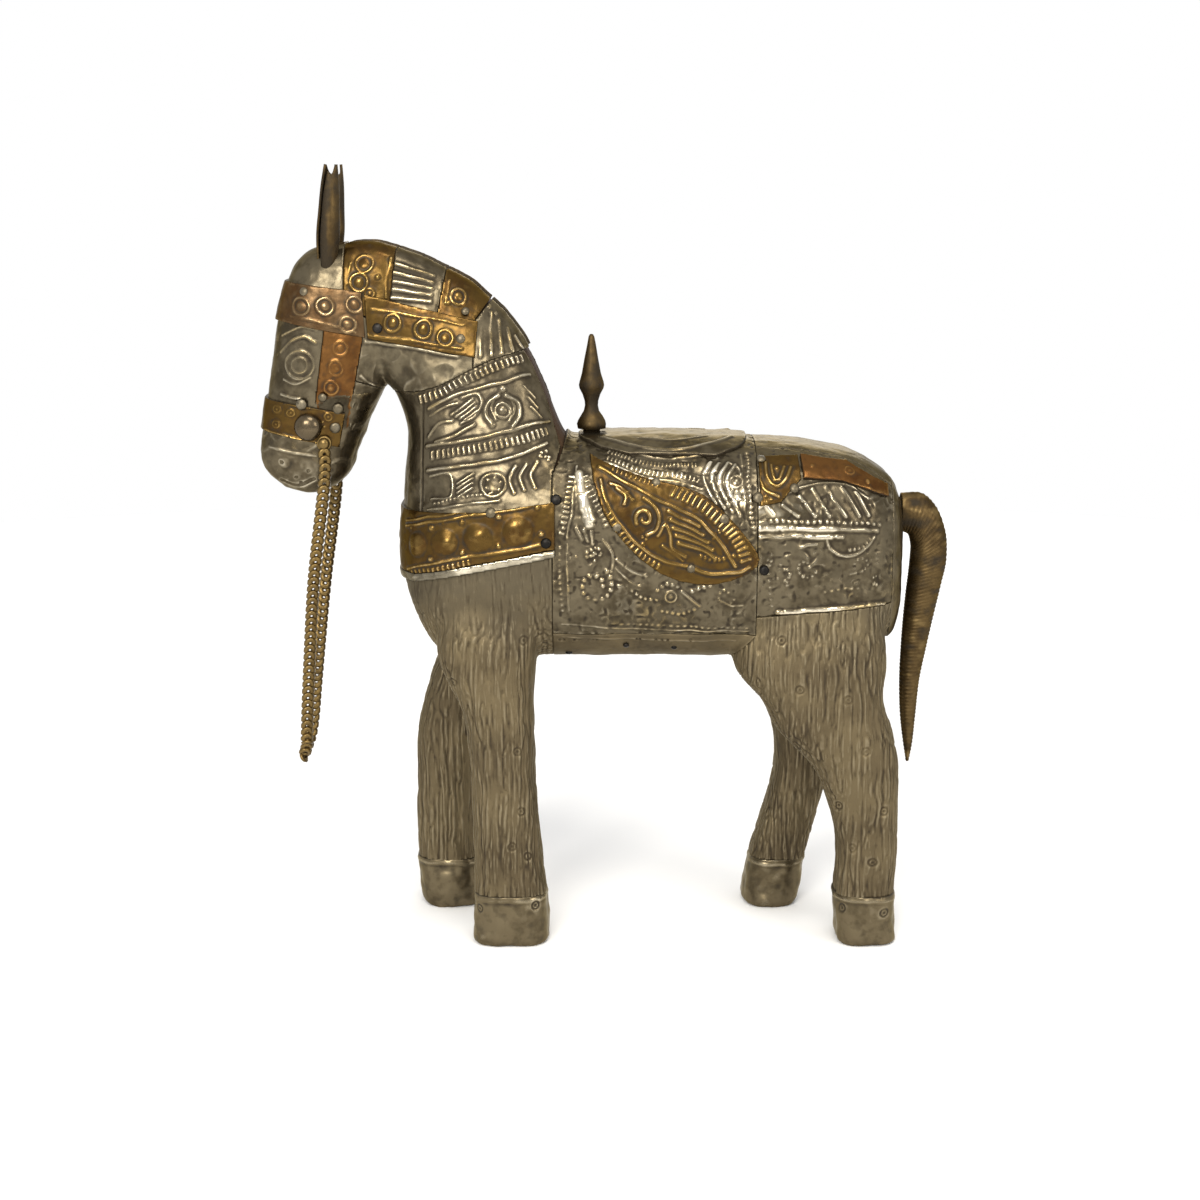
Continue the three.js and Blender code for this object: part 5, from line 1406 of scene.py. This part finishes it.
def sheet_pair(name, finish, slot, inner=MIDDLE_GAP, shape=None, lift=0.0, texture=hammered):
    """Sets the same sheet on each side of the horse."""
    bm, tone = beaten(shape or name, -PAST, -inner, lift, DRAWINGS.get(name), texture)
    other = bm.copy()
    bmesh.ops.scale(other, vec=(1, -1, 1), verts=other.verts[:])
    bmesh.ops.reverse_faces(other, faces=other.faces[:])
    for label, half in (("left", bm), ("right", other)):
        piece(f"{name}_{label}", half, FINISHES[finish], [f"{name}_{label}"], slot, tone)


# The stage

AMBIENT = 0.85
# Rays that see the white surroundings at full strength
FULL_RAYS = ("Is Camera Ray", "Is Glossy Ray", "Is Transmission Ray")
# Lamps: place, size, power and colour
LAMPS = {
    "key": ((-0.22, -0.86, 0.5), 0.32, 6.5, (1, 0.97, 0.9)),
    "front": ((0.1, -0.55, 0.92), 0.34, 3.4, (1, 0.96, 0.89)),
    "fill": ((0.6, -0.62, 0.4), 0.3, 2.0, (1, 0.95, 0.86)),
    "rear": ((0.1, 0.85, 0.42), 0.4, 1.2, (1, 0.96, 0.9)),
}
LAMP_TARGET = Vector((0, 0, 0.09))
FLOOR_RADIUS = 0.75
FLOOR_SIDES = 96
FLOOR_COLOUR = (0.96, 0.96, 0.96, 1)
FLOOR_ROUGH = 0.9


class HORSE_OT_stage(bpy.types.Operator):
    """Sets the camera of the picture, a pale floor and soft studio light."""

    bl_idname = "horse.stage"
    bl_label = "Set the stage"

    def execute(self, context):
        scene = context.scene
        scene.view_settings.view_transform = "Standard"
        lens = bpy.data.cameras.new("picture")
        lens.lens = LENS
        lens.sensor_width = SENSOR
        camera = bpy.data.objects.new("picture", lens)
        camera.location = PLACE @ Vector(EYE)
        camera.rotation_euler = (math.pi / 2 - PITCH, 0, 0)
        scene.collection.objects.link(camera)
        scene.camera = camera
        for name, (place, size, power, tint) in LAMPS.items():
            light = bpy.data.lights.new(name, "AREA")
            light.size = size
            light.energy = power
            light.color = tint
            holder = bpy.data.objects.new(name, light)
            holder.location = place
            holder.rotation_euler = (LAMP_TARGET - holder.location).to_track_quat("-Z", "Y").to_euler()
            scene.collection.objects.link(holder)
        world = bpy.data.worlds.new("studio")
        world.use_nodes = True
        scene.world = world
        tree = world.node_tree
        shown = sum(Finish.add(tree, "ShaderNodeLightPath", output=ray) for ray in FULL_RAYS)
        shown = Finish.add(tree, "ShaderNodeMath", {"operation": "MINIMUM"}, {0: shown, 1: 1.0})
        plain = tree.nodes["Background"]
        plain.inputs["Color"].default_value = (1, 1, 1, 1)
        Finish.fill(tree, plain.inputs["Strength"], shown * (1 - AMBIENT) + AMBIENT)
        bm = bmesh.new()
        bmesh.ops.create_circle(bm, cap_ends=True, segments=FLOOR_SIDES, radius=FLOOR_RADIUS)
        mesh = bpy.data.meshes.new("floor")
        bm.to_mesh(mesh)
        bm.free()
        mesh.materials.append(Finish("pale_floor").set(colour=FLOOR_COLOUR, rough=FLOOR_ROUGH))
        floor = bpy.data.objects.new("floor", mesh)
        scene.collection.objects.link(floor)
        return {"FINISHED"}


# The rein: the ring on its pin, and the route of a strand from the ring to the end of the loop

PIN = (-71.2, 12.29, 129.9)
RING_RADIUS = 1.55
RING_WIRE = 0.45
RING_STEPS = 16
RING_SIDES = 8
STRAND = [
    (PIN[0], 12.9, PIN[2] - RING_RADIUS - 0.2),
    (-71.1, 13.1, 124.0), (-71.9, 13.1, 117.0), (-73.0, 13.0, 110.0), (-74.3, 11.9, 102.0),
    (-75.5, 10.2, 94.0), (-76.4, 8.6, 86.0), (-77.1, 7.2, 78.0), (-77.7, 6.2, 70.0), (-78.2, 5.5, 62.0),
    (-78.5, 5.0, 55.0), (-78.7, 3.9, 50.4), (-78.8, 2.0, 48.2),
]
LOOP_END = (-80.0, 0.0, 44.6)
LEFT_SWAY = 0.6
RIGHT_SWAY = 1.7
ROUTE_STEPS = 24
# A link: by how many radii of its wire it is longer than the pitch, and how it lies in the chain
LINK_OVERLAP = 4.2
LINK_STEPS = 10
LINK_SIDES = 5
LEAN = math.radians(38)
TILT = math.radians(14)
LINK_FACE = Vector((0.35, 1, 0))
TANGENT_REACH = 0.4


def wire_ring(radius, wire, steps, sides):
    """A ring of round wire in the XZ plane, about the origin."""
    bm = bmesh.new()
    made = bmesh.ops.create_circle(bm, segments=sides, radius=wire)["verts"]
    bmesh.ops.translate(bm, vec=(radius, 0, 0), verts=made)
    bmesh.ops.spin(
        bm, geom=[*made, *bm.edges], axis=(0, 1, 0), cent=(0, 0, 0), angle=2 * math.pi, steps=steps,
        use_merge=True)
    return bm


def kept_mesh(bm, name):
    """Turns the faces of a bmesh outwards and keeps it as a mesh."""
    bmesh.ops.recalc_face_normals(bm, faces=bm.faces[:])
    mesh = bpy.data.meshes.new(name)
    bm.to_mesh(mesh)
    bm.free()
    return mesh


def swayed(sway, side):
    """The strand of one side, which hangs a little to the rear in its middle."""
    shares = np.sin(np.linspace(0, np.pi, len(STRAND)))
    return [(x + sway * share, side * y, z) for (x, y, z), share in zip(STRAND, shares)]


class HORSE_OT_rein(bpy.types.Operator):
    """Hangs the rein, one loop of curb chain between the pins at the noseband."""

    bl_idname = "horse.rein"
    bl_label = "Hang the rein"

    def execute(self, context):
        sizes = context.scene.horse_sizes
        left = swayed(LEFT_SWAY, SIDES["left"])
        right = swayed(RIGHT_SWAY, SIDES["right"])
        route = smooth_line([*left, LOOP_END, *right[::-1]], ROUTE_STEPS)
        run = np.concatenate([[0], np.cumsum(np.linalg.norm(np.diff(route, axis=0), axis=1))])
        pitch = sizes.link_pitch / MM
        count = round(run[-1] / pitch)
        wire = sizes.link_wire / MM / 2
        link = wire_ring(1.0 - wire, wire, LINK_STEPS, LINK_SIDES)
        size = ((pitch + LINK_OVERLAP * wire) / 2, 1, sizes.link_width / MM / 2)
        bmesh.ops.scale(link, vec=size, verts=link.verts[:])
        shape = kept_mesh(link, "link")

        def on_route(at):
            return Vector([np.interp(at, run, axis) for axis in route.T])

        bm = bmesh.new()
        for k in range(count):
            at = (k + 0.5) * run[-1] / count
            along = (on_route(at + TANGENT_REACH) - on_route(at - TANGENT_REACH)).normalized()
            across = LINK_FACE.cross(along).normalized()
            turn = Matrix((along, along.cross(across), across)).transposed().to_4x4()
            lean = Matrix.Rotation(LEAN if 2 * k < count else -LEAN, 4, "X")
            tilt = Matrix.Rotation(TILT, 4, "Z")
            start = len(bm.verts)
            bm.from_mesh(shape)
            bm.verts.ensure_lookup_table()
            place = Matrix.Translation(on_route(at)) @ turn @ (lean @ tilt)
            bmesh.ops.transform(bm, matrix=place, verts=bm.verts[start:])
        bpy.data.meshes.remove(shape)
        for side in SIDES.values():
            ring = wire_ring(RING_RADIUS, RING_WIRE, RING_STEPS, RING_SIDES)
            bmesh.ops.translate(ring, vec=(PIN[0], side * PIN[1], PIN[2]), verts=ring.verts[:])
            held = kept_mesh(ring, "ring")
            bm.from_mesh(held)
            bpy.data.meshes.remove(held)
        made = piece("rein", bm, FINISHES["chain"], ["rein_chain"], "chain_brass", body="rein")
        return {"FINISHED"}


# The wood and its sheets

WOOD_PITCH = 0.9
WOOD_ROUNDS = 4
# The wood is drawn in behind the rump plate, from this x on and over this reach
REAR_START = 60.0
REAR_REACH = 11.0
REAR_PULL = 1.3
HOOF_LIFT = 0.25
CROUP_CAP = 12.0
CROUP_SEAM = 0.2
SEAT_HALF = 17.0
ROLLED_RISE = 0.3


class HORSE_OT_carving(bpy.types.Operator):
    """Carves the wood: the trunk with its neck and head, and four legs."""

    bl_idname = "horse.carving"
    bl_label = "Carve the wood"

    def execute(self, context):
        sizes = context.scene.horse_sizes
        carve(sizes.pitch / MM)
        depth = -sizes.wood / MM
        bm = bmesh.new()
        for rungs in TRUNK:
            loft(bm, rungs, depth)
        bmesh.ops.recalc_face_normals(bm, faces=bm.faces[:])
        mesh = fused(bm, WOOD_PITCH)
        bm = bmesh.new()
        bm.from_mesh(mesh)
        bpy.data.meshes.remove(mesh)
        smoothed(bm, bm.verts[:], WOOD_ROUNDS)
        for v in bm.verts:
            v.co.x -= REAR_PULL * min(1, max(0, (v.co.x - REAR_START) / REAR_REACH))
        piece("wood_core", bm, FINISHES["wood"], ["wooden_body"], "carved_wood")
        for name, rungs in LEGS.items():
            bm = bmesh.new()
            loft(bm, rungs, depth)
            bmesh.ops.recalc_face_normals(bm, faces=bm.faces[:])
            piece("wood_leg_" + name, bm, FINISHES["wood"], ["leg_" + name], "carved_wood")
        return {"FINISHED"}


class HORSE_OT_legs(bpy.types.Operator):
    """Clads the legs in chased sheet and caps the hooves."""

    bl_idname = "horse.legs"
    bl_label = "Clad the legs"

    def execute(self, context):
        for name in LEGS:
            part, side = name.split("_")
            low, high = (-PAST, -MIDDLE_GAP) if side == "left" else (MIDDLE_GAP, PAST)
            sheet("leg_sheet_" + name, "leg", "white_metal", low, high, "leg_" + part, LEG_DRAWING,
                  texture=chased)
            sheet("hoof_cap_" + name, "hoof", "white_metal", low, high, "hoof_" + part, LEG_DRAWING,
                  lift=HOOF_LIFT, texture=capped)
        return {"FINISHED"}


class HORSE_OT_head(bpy.types.Operator):
    """Clads the head: forehead, face, jaw, muzzle and throat."""

    bl_idname = "horse.head"
    bl_label = "Clad the head"

    def execute(self, context):
        for name in ("forehead_sheet", "face_plate"):
            sheet(name, "white", "white_metal")
        for name in ("jaw_sheet", "muzzle_cap", "throat_sheet"):
            sheet(name, "muzzle", "white_metal", texture=crumpled)
        return {"FINISHED"}


class HORSE_OT_neck(bpy.types.Operator):
    """Clads the neck, and sets the plates along its crest."""

    bl_idname = "horse.neck"
    bl_label = "Clad the neck"

    def execute(self, context):
        sheet("neck_sheet", "white", "white_metal")
        for name, finish, slot in (
                ("poll_plate", "brass", "embossed_brass"), ("ribbed_plate", "white", "white_metal"),
                ("crest_plate", "brass", "embossed_brass"), ("ray_plate", "white", "white_metal")):
            sheet_pair(name, finish, slot, CREST_STRIP / 2)
        return {"FINISHED"}


class HORSE_OT_bridle(bpy.types.Operator):
    """Sets the straps of the bridle: brow, throat, cheeks and nose."""

    bl_idname = "horse.bridle"
    bl_label = "Set the bridle"

    def execute(self, context):
        lift = context.scene.horse_sizes.overlay / MM
        sheet_pair("cheek_strap", "amber", "embossed_copper")
        sheet("browband", "copper", "embossed_copper", lift=lift)
        sheet_pair("throat_strap", "brass", "embossed_brass", lift=lift)
        sheet("noseband", "brass", "embossed_brass", lift=lift)
        return {"FINISHED"}


class HORSE_OT_body(bpy.types.Operator):
    """Clads the barrel, the belly and the croup."""

    bl_idname = "horse.body"
    bl_label = "Clad the body"

    def execute(self, context):
        sheet_pair("barrel_sheet", "white", "white_metal", texture=pitted)
        sheet("belly_sheet", "leg", "white_metal")
        sheet_pair("croup_sheet", "white", "white_metal", CROUP_CAP + CROUP_SEAM, "croup", texture=pitted)
        sheet("croup_cap", "white", "white_metal", -CROUP_CAP, CROUP_CAP, "croup")
        sheet("rump_plate", "white", "white_metal")
        return {"FINISHED"}


class HORSE_OT_saddle(bpy.types.Operator):
    """Sets the collar, the saddle's seat and flaps, and the straps of the croup."""

    bl_idname = "horse.saddle"
    bl_label = "Set the saddle"

    def execute(self, context):
        lift = context.scene.horse_sizes.overlay / MM
        sheet("chest_collar", "brass", "embossed_brass", lift=lift)
        sheet("collar_edge", "edge", "white_metal", nodes=(), lift=lift + ROLLED_RISE, texture=None)
        sheet("saddle_seat", "white", "white_metal", -SEAT_HALF, SEAT_HALF, lift=lift)
        sheet_pair("saddle_flap", "brass", "embossed_brass", lift=lift)
        sheet_pair("croup_scroll", "brass", "embossed_brass", lift=lift)
        sheet_pair("croup_strip", "amber", "embossed_copper", lift=lift)
        return {"FINISHED"}


# Fittings. A turned piece is a row of (radius, height) from its axis back to its axis.

FINIAL = [
    (0, -12), (2.2, -12), (2.2, 0), (3.6, 0.25), (3.72, 1.4), (3.5, 2.3), (2.9, 3.4), (2.0, 4.8),
    (1.72, 6.2), (1.75, 7.4), (2.3, 9.0), (3.1, 10.6), (3.24, 11.4), (3.1, 12.2), (2.5, 14.5), (1.75, 18.4),
    (1.15, 21.9), (0.8, 23.9), (0.45, 24.5), (0, 24.6),
]
FINIAL_PLACE = (-3.4, 0, BACK + 1.1)
FINIAL_UNEVEN = 0.09
DOME = [
    (0, -7), (0.8, -7), (0.8, -0.5), (3.5, -0.5), (3.55, 0.3), (3.3, 1.0), (2.7, 1.65), (1.8, 2.1),
    (0.9, 2.28), (0, 2.32),
]
PIN_SHAPE = [(0, -7), (0.8, -7), (0.8, 1.7), (1.4, 1.7), (1.38, 2.1), (1.0, 2.5), (0, 2.6)]
STUD = (-75.2, 134.0)
NOSEBAND_RISE = 1.1
STUD_TONE = 0.1
TURNED_STEPS = 24
# Rungs of the tail: its front and rear in the side view, and half its width
TAIL = [
    (*up(ax, az), *up(bx, bz), half, 0)
    for ax, az, bx, bz, half in (
        (77, -25.5, 77, -15.5, 3.6), (79.2, -26.5, 82.6, -15.6, 4), (79.9, -29, 86, -18.6, 4.4),
        (79.9, -32, 88.8, -25, 4.7), (79.6, -36, 89.4, -32.6, 4.7), (79, -42, 88.2, -39.4, 4.5),
        (78.5, -48.5, 86.6, -47, 4.1), (78.1, -56, 84.9, -55.6, 3.5), (77.9, -65, 83.2, -65, 2.8),
        (78.4, -75.5, 82.3, -75.5, 2.1), (79.5, -83.5, 81.6, -83.5, 1.2), (80.2, -87.6, 80.9, -87.6, 0.4))
]
TAIL_LOFT = {"sides": 28, "step": 0.3, "power": 2.2, "cap": 2.0}
TAIL_LENGTH = 95.0
RIB_PITCH = 1.0
RIB_HEIGHT = 0.085
EAR_X = -69.5
EAR_Y = 8.2
EAR_TURN = math.radians(55)
EAR_WRAP = math.radians(160)
EAR_SEAT = BACK + 45.4
EAR_HEIGHT = 23.0
EAR_NOTCH = 2.6
EAR_NOTCH_START = 0.6
EAR_RADIUS = 2.4
EAR_SHEET = 0.7
EAR_SHARES = np.array((-0.3, 0.0, 0.25, 0.5, 0.8, 1.0))
EAR_FULLNESS = np.array((0.4, 0.78, 0.95, 0.84, 0.66, 0.42))[:, None]
EAR_GRID = (22, 40)


def turned(profile):
    """A turned piece about Z."""
    bm = bmesh.new()
    verts = [bm.verts.new((radius, 0, height)) for radius, height in profile]
    edges = [bm.edges.new(pair) for pair in zip(verts[:-1], verts[1:])]
    bmesh.ops.spin(bm, geom=[*verts, *edges], axis=(0, 0, 1), cent=(0, 0, 0), angle=2 * math.pi,
                   steps=TURNED_STEPS, use_merge=True)
    bmesh.ops.remove_doubles(bm, verts=bm.verts[:], dist=1e-4)
    bmesh.ops.recalc_face_normals(bm, faces=bm.faces[:])
    return bm


def cast_tone(bm, often, seed, amount, level):
    """Uneven wear of a piece with no embossing."""
    return amount * grain(np.array([v.co for v in bm.verts]) * often, seed) + level


def head_side(height):
    """The side of the head at a height, over the noseband."""
    rows = sorted(((a + b) / 2, half) for _, a, _, b, half, _ in HEAD)
    return float(np.interp(height, *np.array(rows).T)) + NOSEBAND_RISE


class HORSE_OT_finial(bpy.types.Operator):
    """Stands the turned finial on the withers."""

    bl_idname = "horse.finial"
    bl_label = "Stand the finial"

    def execute(self, context):
        bm = turned(FINIAL)
        for v in bm.verts:
            v.co += v.normal * float(FINIAL_UNEVEN * grain(np.array([v.co]) * 0.7, 21)[0])
        bmesh.ops.translate(bm, vec=FINIAL_PLACE, verts=bm.verts[:])
        tone = cast_tone(bm, 0.4, 34, 0.6, -0.35)
        piece("finial_bud", bm, FINISHES["bronze"], ["finial"], "dark_bronze", tone)
        return {"FINISHED"}


def tail_ribs(turn, along):
    """Uneven ribs round the tail, lower at its root and its tip."""
    rib = np.sin(2 * np.pi * along / RIB_PITCH + 1.6 * np.sin(turn) + 0.7 * np.sin(along * 0.9))
    return RIB_HEIGHT * rib * np.clip(along / 4, 0, 1) * np.clip((TAIL_LENGTH - along) / 20, 0.2, 1)


class HORSE_OT_tail(bpy.types.Operator):
    """Hangs the ribbed tail at the rump."""

    bl_idname = "horse.tail"
    bl_label = "Hang the tail"

    def execute(self, context):
        bm = bmesh.new()
        loft(bm, TAIL, detail=tail_ribs, **TAIL_LOFT)
        bmesh.ops.recalc_face_normals(bm, faces=bm.faces[:])
        bm.normal_update()
        tone = cast_tone(bm, (0.3, 0.3, 0.8), 33, 0.7, 0)
        piece("ribbed_tail", bm, FINISHES["bronze"], ["tail"], "dark_bronze", tone)
        return {"FINISHED"}


def ear_leaf(side):
    """The shape of an ear: a leaf of sheet folded round, with its top notched."""
    def leaf(u, v):
        share = EAR_SHARES[0] + v * (EAR_SHARES[-1] - EAR_SHARES[0])
        radius = EAR_RADIUS * hermite(EAR_SHARES, EAR_FULLNESS, share)[:, 0]
        turn = EAR_WRAP * (2 * u - 1) + EAR_TURN
        fold = 1 - 0.22 * np.exp(-(turn / 0.35) ** 2)
        x = EAR_X - 0.3 + 1.4 * share + radius * np.sin(turn)
        y = side * (EAR_Y - radius * np.cos(turn) * fold + 0.4)
        high = np.clip((share - EAR_NOTCH_START) / (1 - EAR_NOTCH_START), 0, 1)
        notch = EAR_NOTCH * np.cos(turn) ** 2 * high
        return np.stack([x, y, EAR_SEAT + share * EAR_HEIGHT - notch], 1)

    return leaf


class HORSE_OT_ears(bpy.types.Operator):
    """Sets the tall ears, each a leaf of sheet folded round."""

    bl_idname = "horse.ears"
    bl_label = "Set the ears"

    def execute(self, context):
        for label, side in SIDES.items():
            bm = bmesh.new()
            mapped_grid(bm, *EAR_GRID, ear_leaf(side))
            bmesh.ops.solidify(bm, geom=bm.faces[:], thickness=EAR_SHEET)
            bmesh.ops.recalc_face_normals(bm, faces=bm.faces[:])
            bm.normal_update()
            tone = cast_tone(bm, (0.9, 0.9, 0.12), 31, 0.6, -0.4)
            piece("folded_ear_" + label, bm, FINISHES["bronze"], ["ear_" + label], "dark_bronze", tone)
        return {"FINISHED"}


class HORSE_OT_studs(bpy.types.Operator):
    """Sets the dome studs and the pins that hold the rein."""

    bl_idname = "horse.studs"
    bl_label = "Set the studs and pins"

    def execute(self, context):
        for label, side in SIDES.items():
            for name, profile, (x, z), finish, slot in (
                    ("dome_stud", DOME, STUD, "dome", "dark_bronze"),
                    ("rein_pin", PIN_SHAPE, (PIN[0], PIN[2]), "chain", "chain_brass")):
                bm = turned(profile)
                outwards = Matrix.Rotation(-side * math.pi / 2, 3, "X")
                bmesh.ops.rotate(bm, cent=(0, 0, 0), matrix=outwards, verts=bm.verts[:])
                bmesh.ops.translate(bm, vec=(x, side * head_side(z), z), verts=bm.verts[:])
                tone = np.full(len(bm.verts), STUD_TONE)
                piece(f"{name}_piece_{label}", bm, FINISHES[finish], [f"{name}_{label}"], slot, tone)
        return {"FINISHED"}


# Nails: where each is in the picture, and the radius of its head in millimetres
FLAT_NAILS = [
    (305, 292, 1.2), (302, 404, 1.5), (338, 408, 1.5), (335, 427, 1.5), (323, 397, 1.2), (461, 339, 1.3),
    (491, 513, 1.4), (656, 483, 1.2), (724, 519, 1.4), (617, 527, 1.3), (691, 568, 1.2), (794, 489, 1.3),
    (758, 498, 1.4), (761, 461, 1.2), (465, 312, 1.1),
]
BLACK_NAILS = [(556, 500, 1.4), (546, 543, 1.4), (378, 328, 1.4), (764, 570, 1.3)]
BELLY_NAILS = [(569, 652, 1.0), (626, 645, 0.8), (674, 647, 0.8)]
BELLY_NAIL_RISE = 0.05
NAIL_HEIGHT = 0.55
NAIL_SEGMENTS = 10
NAIL_RINGS = 6


class HORSE_OT_nails(bpy.types.Operator):
    """Drives the nails that hold the sheets."""

    bl_idname = "horse.nails"
    bl_label = "Drive the nails"

    def execute(self, context):
        lift = context.scene.horse_sizes.overlay / MM
        for name, spots, finish, slot, rise in (
                ("flat_nails", FLAT_NAILS, "nail", "white_metal", lift),
                ("black_nails", BLACK_NAILS, "iron", "dark_bronze", lift),
                ("belly_nails", BELLY_NAILS, "iron", "dark_bronze", BELLY_NAIL_RISE)):
            bm = bmesh.new()
            for x, y, radius in spots:
                place = on_carving((x, y))
                size = Matrix.Diagonal((radius, radius, NAIL_HEIGHT, 1))
                for side in SIDES.values():
                    spot, way, *_ = CARVING["tree"].find_nearest(Vector(place * (1, -side, 1)))
                    turn = way.to_track_quat("Z", "Y").to_matrix().to_4x4()
                    bmesh.ops.create_uvsphere(
                        bm, u_segments=NAIL_SEGMENTS, v_segments=NAIL_RINGS, radius=1,
                        matrix=Matrix.Translation(spot + way * rise) @ turn @ size)
            piece(name, bm, FINISHES[finish], (), slot)
        return {"FINISHED"}


OPERATORS = (
    HORSE_OT_stage, HORSE_OT_rein, HORSE_OT_carving, HORSE_OT_legs, HORSE_OT_head, HORSE_OT_neck,
    HORSE_OT_bridle, HORSE_OT_body, HORSE_OT_saddle, HORSE_OT_finial, HORSE_OT_tail, HORSE_OT_ears,
    HORSE_OT_studs, HORSE_OT_nails,
)


class HORSE_PT_pieces(bpy.types.Panel):
    """Lists the pieces of the horse."""

    bl_idname = "HORSE_PT_pieces"
    bl_label = "Clad wooden horse"
    bl_space_type = "VIEW_3D"
    bl_region_type = "UI"
    bl_category = "Horse"

    def draw(self, context):
        for operator in OPERATORS:
            self.layout.operator(operator.bl_idname)
        for group in (context.scene.horse_sizes, context.scene.horse_colours):
            for key in group.__annotations__:
                self.layout.prop(group, key)


CLASSES = (HorseSizes, HorseColours, *OPERATORS, HORSE_PT_pieces)


def register():
    for cls in CLASSES:
        bpy.utils.register_class(cls)
    bpy.types.Scene.horse_sizes = bpy.props.PointerProperty(type=HorseSizes)
    bpy.types.Scene.horse_colours = bpy.props.PointerProperty(type=HorseColours)


def unregister():
    del bpy.types.Scene.horse_colours
    del bpy.types.Scene.horse_sizes
    for cls in reversed(CLASSES):
        bpy.utils.unregister_class(cls)


def main():
    register()
    make_finishes(bpy.context.scene.horse_colours)
    for operator in OPERATORS:
        group, name = operator.bl_idname.split(".")
        getattr(getattr(bpy.ops, group), name)()


if __name__ == "__main__":
    main()
